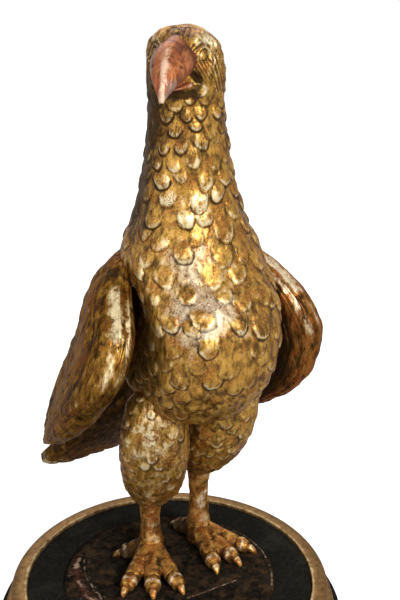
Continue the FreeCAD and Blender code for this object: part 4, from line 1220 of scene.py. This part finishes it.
def foot_blank(side):
    """The foot as one skin: toes, talons and ankle, each a closed surface, melted together."""
    parts = []
    for angle, length in toe_turns(side):
        for rings, places in zip(toe_rings(length), (TOE_GRID, TALON_GRID)):
            parts.append(turned(surface(rings, *places), angle) + leg_place(side, 0, 0, 0))
    ankle = circle() * np.array([1, -1, 1]) * ANKLE_RADIUS
    heights = np.linspace(1 * MM, ANKLE_HEIGHT - 0.5 * MM, 5)
    parts.append(surface([leg_place(side, 0, 0, h) + ankle for h in heights], *ANKLE_GRID))
    points, quads, triangles, start = [], [], [], 0
    for grid in parts:
        some, four, three, _ = closed_skin(grid, {})
        points.append(some)
        quads.append(four + start)
        triangles.append(three + start)
        start += len(some)
    rough = make_mesh("foot_rough", np.concatenate(points), np.concatenate(quads), np.concatenate(triangles), {})
    melt = rough.modifiers.new("Melt", "REMESH")
    melt.mode = "VOXEL"
    melt.voxel_size = FOOT_GRAIN
    soften = rough.modifiers.new("Soften", "SMOOTH")
    soften.factor, soften.iterations = 0.5, 5
    mesh = bpy.data.meshes.new_from_object(rough.evaluated_get(bpy.context.evaluated_depsgraph_get()))
    bpy.data.objects.remove(rough)
    return mesh


def foot_relief(places, side):
    """Of points on a foot: knuckle bands and creases across each toe, from the toe each lies on, with
    painted highlights on knuckles and claws, and painted shade low down, on the toes' sides and on
    the hind toe.
    """
    flat = places - leg_place(side, 0, 0, 0)
    best = np.full(len(flat), np.inf)
    along, lateral, reach = (np.zeros(len(flat)) for _ in range(3))
    for angle, length in toe_turns(side):
        own = turned(flat, -angle)
        distance = np.abs(own[:, 0]) + np.maximum(own[:, 1], 0) * 2
        near = distance < best
        best = np.where(near, distance, best)
        along, lateral = np.where(near, -own[:, 1], along), np.where(near, own[:, 0], lateral)
        reach = np.where(near, length, reach)
    top = ease(flat[:, 2], 2 * MM, 8 * MM)
    knuckle = mound(along - reach * KNUCKLE_SHARE, 3.6 * MM)
    second = mound(along - reach * SECOND_KNUCKLE_SHARE, 3.0 * MM)
    crease = sum(deep * mound(along - reach * share, wide * MM) for share, wide, deep in CREASES)
    claw = ease(along, reach * 1.04, reach * 1.08)
    uneven = waviness(places, 71, 9 * MM)
    # Painted shade low down by the ground, on the toes' sides and over the hind toe
    low = 0.85 * (1 - ease(flat[:, 2], 0.5 * MM, 5 * MM)) * (1 - 0.5 * claw)
    flank = 0.45 * ease(np.abs(lateral), 3 * MM, 7 * MM)
    hind_shade = 0.6 * (reach < HALLUX_LENGTH * 1.01)
    # Painted highlights on the knuckles and the claws
    shine = 1.1 * mound(along - reach * KNUCKLE_SHARE, 2.8 * MM) + 0.8 * claw + 0.4 * second
    return {
        "height": (0.9 * knuckle + 0.4 * second - 0.7 * crease) * MM * top + 0.25 * MM * uneven * (1 - claw),
        "cut": np.clip(0.6 * crease * top + low + flank + hind_shade, 0, 1),
        "edge": np.clip(shine * top, 0, 1.3),
        "rub": 0 * uneven,
        "tone": 0.7 * uneven - 0.5,
    }


# The base

def resampled(outline, count):
    """Evenly spaced (radius, height) points along an outline."""
    outline = np.array(outline, float)
    length = np.concatenate([[0], np.cumsum(np.linalg.norm(np.diff(outline, axis=0), axis=1))])
    even = np.linspace(0, length[-1], count)
    return np.stack([np.interp(even, length, outline[:, k]) for k in range(2)], axis=1)


def rounded(outline):
    """A closed outline with its corners cut off twice, at a fifth of each side."""
    points = np.array(outline, float)
    for _ in range(2):
        ahead = np.roll(points, -1, 0)
        points = np.stack([span(points, ahead, 0.2), span(points, ahead, 0.8)], axis=1).reshape(-1, 2)
    return points


def arc(start, via, end, count):
    """Points of a curve that starts and ends at two points and passes through a third halfway."""
    t = np.linspace(0, 1, count)[:, None]
    start, via, end = (np.array(point, float) for point in (start, via, end))
    bend = 2 * via - (start + end) / 2
    return list(start * (1 - t) ** 2 + bend * 2 * t * (1 - t) + end * t ** 2)


def ring_piece(name, outline, wobble, seed, material, slot, *nodes):
    """A closed ring: an outline of (radius, height) carried round a circle, with slight unevenness.

    A narrow line near the rim's inner edge is rubbed bright and carries a painted highlight."""
    turn = turns(RING_PLACES)[None]
    radius, height = outline[:, :1], outline[:, 1:] + 0 * turn
    grid = np.stack([radius * np.cos(turn), radius * np.sin(turn), height], axis=2)
    grid[..., :2] *= 1 - wobble * (1 + waviness(grid, seed, 60 * MM))[..., None]
    rows, places = grid.shape[:2]
    index = np.arange(rows * places).reshape(rows, places)
    ahead, above = np.roll(index, -1, 1), np.roll(index, -1, 0)
    quads = np.stack([index, ahead, np.roll(ahead, -1, 0), above], axis=2).reshape(-1, 4)
    corner = grid.reshape(-1, 3)[quads]
    normal = np.cross(corner[:, 2] - corner[:, 0], corner[:, 3] - corner[:, 1])
    if np.einsum("ij,ij->i", corner.mean(axis=1), normal).sum() < 0:
        quads = quads[:, ::-1]
    # A rubbed line that is also a painted highlight
    rubbed = 1.1 * mound(radius - RUBBED_HIGHLIGHT_RADIUS, 1.8 * MM) + 0 * turn
    piece = make_mesh(name, grid.reshape(-1, 3), quads, np.zeros((0, 3), int), {"edge": rubbed.ravel()})
    return finished(piece, material, slot, *nodes)


def moulding_outline(node):
    """The section of one of the base's rings, as (radius, height) points round it."""
    low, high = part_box(node)
    foot, top = low[2], high[2]
    middle, tall = (foot + top) / 2, top - foot
    start, close = [(CORE_RADIUS, foot)], [(CORE_RADIUS, top)]
    if node == "foot_moulding":
        shoulder = (FOOT_SHOULDER_RADIUS, foot + 0.78 * tall)
        side = arc((FOOT_RADIUS, foot + 0.45 * tall), shoulder, (FOOT_TOP_RADIUS, top), 9)
        return start + [(FOOT_RADIUS, foot)] + side + close
    if node == "gilt_fillet":
        return start + arc((FILLET_RADIUS, foot), (FILLET_BULGE_RADIUS, middle), (FILLET_RADIUS, top), 7) + close
    if node == "frieze_ring":
        return start + arc((FRIEZE_RADIUS, foot), (FRIEZE_WAIST_RADIUS, middle), (FRIEZE_RADIUS, top), 9) + close
    edge = (RIM_TOP_RADIUS, top - RIM_SOFTENING)
    side = arc((FRIEZE_RADIUS, foot), (RIM_BULGE_RADIUS, middle), edge, 7)
    swell = arc(edge, (RIM_CREST_RADIUS, top), (RIM_INNER_RADIUS, top - 0.5 * MM), 7)
    return start + side + swell[1:] + [(RIM_INNER_RADIUS, foot + 2 * MM), (CORE_RADIUS, foot + 2 * MM)]


def ground_grid(radius, low, high):
    """The carved ground as a grid from its middle over its soft edge to its underside."""
    slope = arc((radius - 5 * MM, high), (radius - 1.2 * MM, high - 1.6 * MM), (radius, low + 1 * MM), 8)
    outline = [(0.5 * MM, high)] + slope + [(radius, low), (0.5 * MM, low)]
    outline = resampled(outline, GROUND_GRID[1])
    turn = turns(GROUND_GRID[0])[None]
    radii, heights = outline[:, :1], outline[:, 1:] + 0 * turn
    return np.stack([radii * np.sin(turn), -radii * np.cos(turn), heights], axis=2)


def ground_relief(grid):
    """Rough cutting, worn rings near the edge, a long crack and lumps in front of the claws."""
    x, y = grid[..., 0], grid[..., 1]
    top = ease(grid[..., 2], ground_box[1][2] - 2 * MM, ground_box[1][2] - 0.5 * MM)
    radius, turn = np.hypot(x, y), np.arctan2(x, -y)
    uneven = waviness(grid, 81, 26 * MM, 4)
    wander = 2.5 * MM * waviness(grid, 82, 50 * MM)
    aside = np.hypot(x - RINGS_CENTRE[0], y - RINGS_CENTRE[1])
    on_right = ease(turn, -2.9, -2.3) * (1 - ease(turn, -1.5, -0.9))
    rings = sum(strong * mound(aside - out - sign * wander, wide) for out, wide, strong, sign in INNER_RINGS)
    rings = (rings + mound(aside - WIDE_RING + 1.5 * wander, 2.2 * MM) * ease(uneven, -0.2, 0.6)) * on_right
    on_left = ease(turn, 0.6, 1.0) * (1 - ease(turn, 1.7, 2.2))
    rings += 0.9 * mound(radius - EDGE_RING - 0.3 * wander, 1.3 * MM) * on_left
    lumps = np.zeros_like(x)
    for side in SIDES:
        for angle, length in toe_turns(side)[:3]:
            tip = STAND + leg_place(side, 0, 0, 0) + turned(np.array([5 * MM, -length - 12 * MM, 0.0]), angle)
            lumps += mound(np.hypot(x - tip[0], y - tip[1]), 6 * MM)
    crack = mound(y - CRACK_PLACE[1] + 0.6 * wander, 0.9 * MM)
    crack = crack * (1 - ease(np.abs(x - CRACK_PLACE[0]), 26 * MM, 34 * MM))
    relief = no_relief(x)
    relief["height"] = top * (sizes().ground_relief * (0.35 * uneven - 0.55)
                              + MM * (0.3 * rings + 1.2 * lumps - 0.4 * crack))
    relief["edge"] = np.clip(top * (1.1 * rings + 0.25 * lumps + 1.1 * crack), 0, 1.2)
    relief["rub"] = np.clip(top * 0.8 * mound(aside - WIDE_RING - 1 * MM, 8 * MM) * on_right, 0, 1)
    relief["tone"] = uneven
    return relief


# Materials

def add_node(tree, kind, values=(), **settings):
    """A node with its settings, and values or sockets for its inputs by name or number."""
    node = tree.nodes.new(kind)
    for key, value in settings.items():
        setattr(node, key, value)
    for key, value in dict(values).items():
        if isinstance(value, bpy.types.NodeSocket):
            tree.links.new(value, node.inputs[key])
        else:
            node.inputs[key].default_value = value
    return node


def calc(tree, operation, first, second, third=0.0):
    """The result of an arithmetic node."""
    values = {0: first, 1: second, 2: third}
    return add_node(tree, "ShaderNodeMath", values, operation=operation).outputs[0]


def stepped(tree, value, low, high, start=0.0, end=1.0):
    """A smooth step from start to end while a value goes from low to high."""
    values = {0: value, 1: low, 2: high, 3: start, 4: end}
    return add_node(tree, "ShaderNodeMapRange", values, interpolation_type="SMOOTHSTEP").outputs[0]


def mixed(tree, share, first, second):
    """A share of the way from one colour to another."""
    return add_node(tree, "ShaderNodeMix", {0: share, 6: first, 7: second}, data_type="RGBA").outputs[2]


def laid(tree, colour, mask, most, over):
    """A colour with another laid over it where a mask says, at most so strongly."""
    return mixed(tree, calc(tree, "MULTIPLY", mask, most), colour, over)


def swayed(tree, value, noise, strength, middle=0.5):
    """A value moved by strength times how far a noise lies from its middle."""
    return calc(tree, "MULTIPLY_ADD", calc(tree, "SUBTRACT", noise, middle), strength, value)


def stretched(tree, given):
    """The place on a piece with each of its axes scaled, for marks drawn out along one of them."""
    values = {0: given["Place"], 1: given["Stretch"]}
    return add_node(tree, "ShaderNodeVectorMath", values, operation="MULTIPLY").outputs[0]


def mottle(tree, place, size, detail=3.0, rough=0.5):
    """Cloudy noise about 0.5, its patches about size metres wide."""
    values = {"Vector": place, "Scale": 1 / size, "Detail": detail, "Roughness": rough}
    return add_node(tree, "ShaderNodeTexNoise", values).outputs["Fac"]


def specks(tree, place, size, low, high):
    """Small round spots: 1 in their middles, 0 between them."""
    values = {"Vector": place, "Scale": 1 / size}
    distance = add_node(tree, "ShaderNodeTexVoronoi", values).outputs["Distance"]
    return stepped(tree, distance, low, high, 1.0, 0.0)


def effect(name, inputs, outputs, build):
    """A shared node group: built the first time it's asked for."""
    group = bpy.data.node_groups.get(name)
    if group is None:
        group = bpy.data.node_groups.new(name, "ShaderNodeTree")
        for direction, sockets in (("INPUT", inputs), ("OUTPUT", outputs)):
            for label, kind in sockets:
                group.interface.new_socket(name=label, in_out=direction, socket_type="NodeSocket" + kind)
        into = group.nodes.new("NodeGroupInput")
        out = group.nodes.new("NodeGroupOutput")
        for label, socket in build(group, into.outputs).items():
            group.links.new(socket, out.inputs[label])
    return group


def worn_gilding(tree, given):
    """Gold leaf that has aged: bright on edges and painted highlights, amber where thin, dusty where rubbed, dark in
    cuts and painted shade.
    """
    place = stretched(tree, given)
    clouds = mottle(tree, place, CLOUD_SIZE, 4.0, 0.6)
    wear = mottle(tree, place, WEAR_SIZE, 6.0, 0.66)
    patches = mottle(tree, given["Place"], PATCH_SIZE, 4.0, 0.55)
    fine = mottle(tree, given["Place"], FINE_SIZE, 3.0, 0.6)
    leafed = calc(tree, "MULTIPLY_ADD", given["Tone"], 0.035, wear)
    leafed = swayed(tree, leafed, clouds, 0.38)
    leafed = calc(tree, "MULTIPLY_ADD", given["Edge"], 0.10, leafed)
    leafed = calc(tree, "MULTIPLY_ADD", given["Cut"], -0.12, leafed)
    colour = mixed(tree, stepped(tree, leafed, 0.32, 0.62), given["Umber"], given["Gold"])
    amber = calc(tree, "MULTIPLY_ADD", given["Tone"], -0.03, patches)
    colour = mixed(tree, stepped(tree, amber, 0.47, 0.66, 0.0, 0.75), colour, given["Amber"])
    bare = calc(tree, "MULTIPLY", stepped(tree, wear, 0.58, 0.66), stepped(tree, fine, 0.40, 0.60))
    colour = laid(tree, colour, bare, 0.35, given["Bole"])
    # Dust where Rub says, which on the breast, brow and thighs is also a painted highlight
    dusty = stepped(tree, swayed(tree, given["Rub"], wear, 1.8), 0.45, 1.0)
    colour = laid(tree, colour, dusty, 0.8, given["Dust"])
    # Bright leaf where Edge and Rub say: burnished edges and painted highlights
    shone = swayed(tree, given["Edge"], wear, 3.2, 0.53)
    shone = swayed(tree, shone, patches, -1.2)
    shone = calc(tree, "MULTIPLY_ADD", given["Rub"], 0.45, shone)
    colour = laid(tree, colour, stepped(tree, shone, 0.40, 1.30), 0.80, given["Bright"])
    pitted = calc(tree, "MULTIPLY", stepped(tree, fine, 0.50, 0.60), stepped(tree, patches, 0.40, 0.58))
    colour = laid(tree, colour, pitted, given["Pits"], given["Umber"])
    # Dark where Cut says: dirt in the cuts and painted shade
    dirt = swayed(tree, given["Cut"], fine, 0.5)
    dirt = swayed(tree, dirt, clouds, -0.65)
    dirt = swayed(tree, dirt, wear, -0.6)
    dirt_and_shade = stepped(tree, dirt, 0.20, 0.85)
    cells = {"Vector": place, "Scale": 1 / CRACK_SIZE}
    edges = add_node(tree, "ShaderNodeTexVoronoi", cells, feature="DISTANCE_TO_EDGE").outputs["Distance"]
    crack = stepped(tree, edges, 0.0, 0.016, 1.0, 0.0)
    crack = calc(tree, "MULTIPLY", crack, stepped(tree, patches, 0.54, 0.62))
    flecks = specks(tree, given["Place"], FLECK_SIZE, 0.08, 0.22)
    flecks = calc(tree, "MULTIPLY", flecks, stepped(tree, wear, 0.46, 0.54))
    marks = calc(tree, "MAXIMUM", calc(tree, "MULTIPLY", crack, 0.45), calc(tree, "MULTIPLY", flecks, 0.35))
    dirt_and_shade = calc(tree, "MAXIMUM", dirt_and_shade, marks)
    colour = laid(tree, colour, dirt_and_shade, 0.92, given["Grime"])
    leaf = calc(tree, "SUBTRACT", 1.0, calc(tree, "ADD", dirt_and_shade, calc(tree, "MULTIPLY", dusty, 0.5)))
    leaf = calc(tree, "MULTIPLY", calc(tree, "MAXIMUM", leaf, 0.0), given["Metal"])
    rough = calc(tree, "MULTIPLY_ADD", wear, 0.34, 0.16)
    rough = calc(tree, "MULTIPLY_ADD", dirt_and_shade, 0.25, rough)
    high = calc(tree, "MULTIPLY_ADD", fine, 0.22, calc(tree, "MULTIPLY", wear, 1.1))
    high = calc(tree, "MULTIPLY_ADD", crack, -0.3, high)
    varnish = calc(tree, "MULTIPLY", calc(tree, "SUBTRACT", 1.0, dirt_and_shade), given["Varnish"])
    return {"Colour": colour, "Metallic": leaf, "Roughness": rough, "Coat": varnish, "Height": high}


def made_finish(name, group, values, bump, dent, **shader_values):
    """A material: a shared node group gives its colour and wear, and the height for small dents."""
    material = bpy.data.materials.new(name)
    material.use_nodes = True
    tree, shader = material.node_tree, material.node_tree.nodes["Principled BSDF"]
    values["Place"] = tree.nodes.new("ShaderNodeTexCoord").outputs["Object"]
    for label in [socket.name for socket in group.interface.items_tree if socket.name.lower() in LAYERS]:
        values[label] = add_node(tree, "ShaderNodeAttribute", attribute_name=label.lower()).outputs["Fac"]
    finish = add_node(tree, "ShaderNodeGroup", values, node_tree=group)
    for label, socket in (("Colour", "Base Color"), ("Metallic", "Metallic"), ("Roughness", "Roughness"),
                          ("Coat", "Coat Weight")):
        if label in finish.outputs:
            tree.links.new(finish.outputs[label], shader.inputs[socket])
    for label, value in shader_values.items():
        shader.inputs[label.replace("_", " ")].default_value = value
    dents = add_node(tree, "ShaderNodeBump", {"Strength": bump, "Distance": dent, "Height": finish.outputs["Height"]})
    tree.links.new(dents.outputs[0], shader.inputs["Normal"])
    return material


def gilding(name):
    """A gilded finish of the table: the common one with its own values."""
    if name in bpy.data.materials:
        return bpy.data.materials[name]
    own = {"stretch": (1, 1, 0.5), "bump": 0.55, "metal": 0.6, "sheen": 0.15, "pits": 0.55, "varnish": 0.0}
    own.update(GILDINGS[name])
    if name == "moulding_gilding":
        own.update({key: tuple(share * part for part in colours().rim) for key, share in RIM_SHARES.items()})
    shades = ("Gold", "Bright", "Amber", "Umber", "Grime", "Dust", "Bole")
    inputs = [("Place", "Vector"), ("Stretch", "Vector"), ("Metal", "Float"), ("Pits", "Float"), ("Varnish", "Float")]
    inputs += [(key.title(), "Float") for key in LAYERS] + [(label, "Color") for label in shades]
    outputs = [("Colour", "Color"), ("Metallic", "Float"), ("Roughness", "Float"), ("Coat", "Float"),
               ("Height", "Float")]
    values = {label: own[label.lower()] for label in ("Stretch", "Metal", "Pits", "Varnish")}
    for label in shades:
        values[label] = (*own.get(label.lower(), getattr(colours(), label.lower())), 1)
    return made_finish(
        name, effect("Worn gilding", inputs, outputs, worn_gilding), values, own["bump"], 1 * MM,
        Specular_IOR_Level=own["sheen"], Coat_Roughness=0.2, Specular_Tint=GRAZING_TINT)


def two_toned(tree, given):
    """Grain or brushing in two colours, with scratches, specks of dust and small dents."""
    place = stretched(tree, given)
    clouds = mottle(tree, given["Place"], PLAIN_CLOUD_SIZE, 4.0, 0.6)
    grain = mottle(tree, place, GRAIN_SIZE, 5.0, 0.6)
    fine = mottle(tree, given["Place"], SCRATCH_SIZE, 2.0, 0.5)
    share = stepped(tree, swayed(tree, grain, clouds, 0.8), 0.35, 0.68)
    colour = mixed(tree, share, given["First"], given["Second"])
    dust = specks(tree, given["Place"], SPECK_SIZE, 0.05, 0.14)
    dust = calc(tree, "MULTIPLY", dust, stepped(tree, fine, 0.45, 0.62))
    smudge = calc(tree, "MULTIPLY", stepped(tree, clouds, 0.52, 0.75), 0.06)
    dust = calc(tree, "MAXIMUM", dust, smudge)
    dust = calc(tree, "MULTIPLY", dust, given["Dusty"])
    colour = mixed(tree, dust, colour, given["Dust"])
    rough = calc(tree, "MULTIPLY_ADD", grain, 0.22, calc(tree, "MULTIPLY", dust, 0.3))
    rough = calc(tree, "ADD", rough, given["Smooth"])
    high = calc(tree, "MULTIPLY_ADD", fine, 0.2, calc(tree, "MULTIPLY", grain, 0.8))
    return {"Colour": colour, "Roughness": rough, "Height": high}


def plain_finish(name, first, second, dust, dusty, smooth, metallic, stretch, bump, sheen=0.4):
    """A finish of two close colours with dust: polish, wood, iron, steel or cloth."""
    if name in bpy.data.materials:
        return bpy.data.materials[name]
    inputs = [("Place", "Vector"), ("Stretch", "Vector"), ("First", "Color"), ("Second", "Color"),
              ("Dust", "Color"), ("Dusty", "Float"), ("Smooth", "Float")]
    outputs = [("Colour", "Color"), ("Roughness", "Float"), ("Height", "Float")]
    values = {"Stretch": stretch, "First": (*first, 1), "Second": (*second, 1), "Dust": (*dust, 1),
              "Dusty": dusty, "Smooth": smooth}
    return made_finish(
        name, effect("Grain and dust", inputs, outputs, two_toned), values, bump, 0.5 * MM, Metallic=metallic,
        Specular_IOR_Level=sheen)


def ebonised():
    """Black satin polish over wood, with specks of dust."""
    black = colours().black
    return plain_finish("black_polish", black, tuple(1.7 * part for part in black), (0.30, 0.28, 0.24), 0.6, 0.30,
                        0.0, (1, 1, 1), 0.15, 0.0)


# The operators, in the order in which they run

class EAGLE_OT_Plumage(bpy.types.Operator):
    """Carve the feathers of the breast, belly, neck and back."""

    bl_idname = "eagle.plumage"
    bl_label = "Carve plumage"

    def execute(self, context):
        grid = surface(trunk_rings(), *TRUNK_GRID)
        relief = plumage(*measures(grid), grid)
        points = pushed(grid, relief) + STAND
        normals = outward(points)
        row = int(np.argmin(np.abs(grid[..., 2].mean(axis=1) - SHOULDER_HEIGHT)))
        for name, part, node in (
                ("neck_plumage", slice(0, row + 1), "neck"), ("chest_plumage", slice(row, None), "torso")):
            some = {key: value[part] for key, value in relief.items()}
            carved_piece(name, points[part], some, gilding("worn_gilding"), "gilded_wood", node, normals=normals[part])
        return {"FINISHED"}


class EAGLE_OT_Head(bpy.types.Operator):
    """Carve the head and both halves of the beak."""

    bl_idname = "eagle.head"
    bl_label = "Carve head"

    def execute(self, context):
        grid = surface(head_rings(), *HEAD_GRID)
        upper = surface(upper_beak_rings(), *BEAK_GRID)
        lower = surface(lower_beak_rings(), *BEAK_GRID)
        for name, part, relief, finish, slot, node in (
                ("head_carving", grid, head_relief(grid), "worn_gilding", "gilded_wood", "head"),
                ("upper_beak_carving", upper, beak_relief(upper), "beak_bole", "red_bole", "upper_beak"),
                ("lower_beak_carving", lower, jaw_relief(lower), "beak_bole", "red_bole", "lower_beak")):
            carved_piece(name, on_neck(pushed(part, relief)), relief, gilding(finish), slot, node)
        return {"FINISHED"}


class EAGLE_OT_Wings(bpy.types.Operator):
    """Carve both folded wings."""

    bl_idname = "eagle.wings"
    bl_label = "Carve wings"

    def execute(self, context):
        for side, finish in (("left", "copper_gilding"), ("right", "streaked_gilding")):
            grid = surface([wing_ring(row, side) for row in WING_SHARES], *WING_GRID)
            relief = wing_relief(grid)
            carved_piece(f"{side}_wing_carving", pushed(grid, relief) + STAND, relief, gilding(finish),
                         "gilded_wood", f"{side}_wing")
        return {"FINISHED"}


class EAGLE_OT_Tail(bpy.types.Operator):
    """Carve the fan of the tail."""

    bl_idname = "eagle.tail"
    bl_label = "Carve tail"

    def execute(self, context):
        grid, relief = tail_piece(surface(tail_rings(), *TAIL_GRID))
        carved_piece("tail_carving", pushed(grid, relief) + STAND, relief, gilding("streaked_gilding"),
                     "gilded_wood", "tail")
        return {"FINISHED"}


class EAGLE_OT_Legs(bpy.types.Operator):
    """Carve the thighs and the shanks."""

    bl_idname = "eagle.legs"
    bl_label = "Carve legs"

    def execute(self, context):
        for side in SIDES:
            thigh = surface(thigh_rings(side), *THIGH_GRID)
            shank = surface(shank_rings(side), *SHANK_GRID)
            for name, grid, relief, finish, node in (
                    ("thigh_plumage", thigh, thigh_relief(thigh, side), "worn_gilding", "thigh"),
                    ("shank_carving", shank, shank_relief(shank, SHANK_SEEDS[side]), "foot_gilding", "shank")):
                carved_piece(f"{side}_{name}", pushed(grid, relief) + STAND, relief, gilding(finish),
                             "gilded_wood", f"{side}_{node}")
        return {"FINISHED"}


class EAGLE_OT_Feet(bpy.types.Operator):
    """Carve the feet: toes, talons and ankles melted together, then knuckles and creases."""

    bl_idname = "eagle.feet"
    bl_label = "Carve feet"

    def execute(self, context):
        for side in SIDES:
            mesh = foot_blank(side)
            mesh.name = f"{side}_foot_carving"
            count = len(mesh.vertices)
            places, normals = np.empty(3 * count), np.empty(3 * count)
            mesh.vertices.foreach_get("co", places)
            mesh.vertex_normals.foreach_get("vector", normals)
            places, normals = places.reshape(-1, 3), normals.reshape(-1, 3)
            relief = foot_relief(places, side)
            moved = places + normals * relief["height"][:, None]
            moved[:, 2] = np.maximum(moved[:, 2], 0)
            mesh.vertices.foreach_set("co", (moved + STAND).ravel())
            mesh.polygons.foreach_set("use_smooth", np.ones(len(mesh.polygons), bool))
            put_values(mesh, {key: relief[key] for key in LAYERS})
            mesh.update()
            foot = bpy.data.objects.new(f"{side}_foot_carving", mesh)
            context.scene.collection.objects.link(foot)
            finished(foot, gilding("foot_gilding"), "gilded_wood", f"{side}_foot")
        return {"FINISHED"}


class EAGLE_OT_Base(bpy.types.Operator):
    """Carve the ground, turn the mouldings and finish the parts that stay as they are."""

    bl_idname = "eagle.base"
    bl_label = "Finish base"

    def execute(self, context):
        low, high = (np.array(corner) for corner in ground_box)
        grid = ground_grid((high[0] - low[0]) / 2, low[2], high[2])
        grid = grid + np.array([(low[0] + high[0]) / 2, (low[1] + high[1]) / 2, 0])
        relief = ground_relief(grid)
        carved_piece("carved_ground_relief", pushed(grid, relief), relief, gilding("ground_paint"),
                     "dark_ground", "carved_ground")
        gold, black = gilding("moulding_gilding"), ebonised()
        for name, node, material, slot, seed in (
                ("rim_moulding", "gilt_rim", gold, "gilt_moulding", 101),
                ("fillet_moulding", "gilt_fillet", gold, "gilt_moulding", 102),
                ("frieze_moulding", "frieze_ring", black, "ebonised_wood", 103),
                ("foot_moulding_turned", "foot_moulding", black, "ebonised_wood", 104)):
            ring_piece(name, rounded(moulding_outline(node)), RING_WOBBLE, seed, material, slot, node)
        plain = {name: plain_finish(name, *values) for name, values in PLAIN_FINISHES.items()}
        stays = {
            black: ("top_panel",),
            plain["green_baize"]: ("baize_sheet",),
            plain["bright_steel"]: ("ground_screws", "rim_pins"),
            plain["forged_iron"]: ("left_leg_rod", "right_leg_rod", "rod_nuts", "rod_washers"),
            plain["bare_wood"]: (
                "base_core", "beak_dowels", "neck_dowels", "wing_dowels", "tail_dowels", "thigh_dowels"),
        }
        for material, nodes in stays.items():
            for node in nodes:
                for slot in bpy.data.objects[node].material_slots:
                    slot.material = material
        return {"FINISHED"}


class EAGLE_OT_Stage(bpy.types.Operator):
    """Set up the floor, the lamps, the world and the camera."""

    bl_idname = "eagle.stage"
    bl_label = "Set stage"

    def execute(self, context):
        scene = context.scene
        points = FLOOR_REACH * np.array([(-1, -1, 0), (1, -1, 0), (1, 1, 0), (-1, 1, 0)], float)
        floor = make_mesh("floor", points, np.array([[0, 1, 2, 3]]), np.zeros((0, 3), int), {})
        pale = bpy.data.materials.new("pale_floor")
        pale.use_nodes = True
        tree, shader = pale.node_tree, pale.node_tree.nodes["Principled BSDF"]
        place = tree.nodes.new("ShaderNodeTexCoord").outputs["Object"]
        paper = tuple(colours().floor)
        tint = mixed(tree, mottle(tree, place, 30 * MM), (*paper, 1), (*(0.985 * part for part in paper), 1))
        tree.links.new(tint, shader.inputs["Base Color"])
        shader.inputs["Roughness"].default_value = 0.9
        shader.inputs["Specular IOR Level"].default_value = 0.1
        shader.inputs["Emission Color"].default_value = (1, 1, 1, 1)
        seen = calc(tree, "MULTIPLY", tree.nodes.new("ShaderNodeLightPath").outputs["Is Camera Ray"], FLOOR_GLOW)
        tree.links.new(seen, shader.inputs["Emission Strength"])
        floor.data.materials.append(pale)
        for name, (place, size, power) in LAMPS.items():
            light = bpy.data.lights.new(name, "AREA")
            light.energy, light.size = power, size
            lamp = bpy.data.objects.new(name, light)
            lamp.location = place
            aim = Vector(LAMPS_AIM) - lamp.location
            lamp.rotation_euler = aim.to_track_quat("-Z", "Y").to_euler()
            scene.collection.objects.link(lamp)
        world = bpy.data.worlds.new("studio")
        world.use_nodes = True
        tree = world.node_tree
        tree.nodes.clear()
        rays = tree.nodes.new("ShaderNodeLightPath")
        seen = calc(tree, "MAXIMUM", rays.outputs["Is Camera Ray"], rays.outputs["Is Glossy Ray"])
        seen = calc(tree, "MAXIMUM", seen, rays.outputs["Is Transmission Ray"])
        room = add_node(tree, "ShaderNodeBackground", {"Color": (0.95, 0.97, 1, 1), "Strength": ROOM_LIGHT})
        white = add_node(tree, "ShaderNodeBackground", {"Color": (1, 1, 1, 1), "Strength": 1.0})
        either = add_node(tree, "ShaderNodeMixShader", {0: seen, 1: room.outputs[0], 2: white.outputs[0]})
        out = tree.nodes.new("ShaderNodeOutputWorld")
        tree.links.new(either.outputs[0], out.inputs["Surface"])
        scene.world = world
        scene.view_settings.view_transform = "Standard"
        camera = bpy.data.objects.new("photo_camera", bpy.data.cameras.new("photo_camera"))
        camera.data.sensor_width = CAMERA_SENSOR_MM
        camera.data.lens = CAMERA_LENS_MM
        camera.location = CAMERA_PLACE
        camera.rotation_euler = (math.radians(90 - CAMERA_DOWN_DEGREES), 0, -math.radians(CAMERA_ASIDE_DEGREES))
        scene.collection.objects.link(camera)
        scene.camera = camera
        return {"FINISHED"}


STEPS = (
    EAGLE_OT_Plumage, EAGLE_OT_Head, EAGLE_OT_Wings, EAGLE_OT_Tail, EAGLE_OT_Legs, EAGLE_OT_Feet,
    EAGLE_OT_Base, EAGLE_OT_Stage)


class VIEW3D_PT_Eagle(bpy.types.Panel):
    """Buttons for each step and the values they use."""

    bl_idname = "VIEW3D_PT_eagle"
    bl_label = "Giltwood eagle"
    bl_space_type = "VIEW_3D"
    bl_region_type = "UI"
    bl_category = "Eagle"

    def draw(self, context):
        for step in STEPS:
            self.layout.operator(step.bl_idname)
        for group in (context.scene.eagle_sizes, context.scene.eagle_colours):
            for key in group.__annotations__:
                self.layout.prop(group, key)


CLASSES = (EagleSizes, EagleColours, *STEPS, VIEW3D_PT_Eagle)


def register():
    """Make the values, operators and panel known to Blender."""
    for one in CLASSES:
        bpy.utils.register_class(one)
    bpy.types.Scene.eagle_sizes = PointerProperty(type=EagleSizes)
    bpy.types.Scene.eagle_colours = PointerProperty(type=EagleColours)


def unregister():
    """Take them away again."""
    del bpy.types.Scene.eagle_colours
    del bpy.types.Scene.eagle_sizes
    for one in reversed(CLASSES):
        bpy.utils.unregister_class(one)


def main():
    """Make every piece and the stage."""
    register()
    for step in STEPS:
        group, name = step.bl_idname.split(".")
        getattr(getattr(bpy.ops, group), name)()


if __name__ == "__main__":
    main()
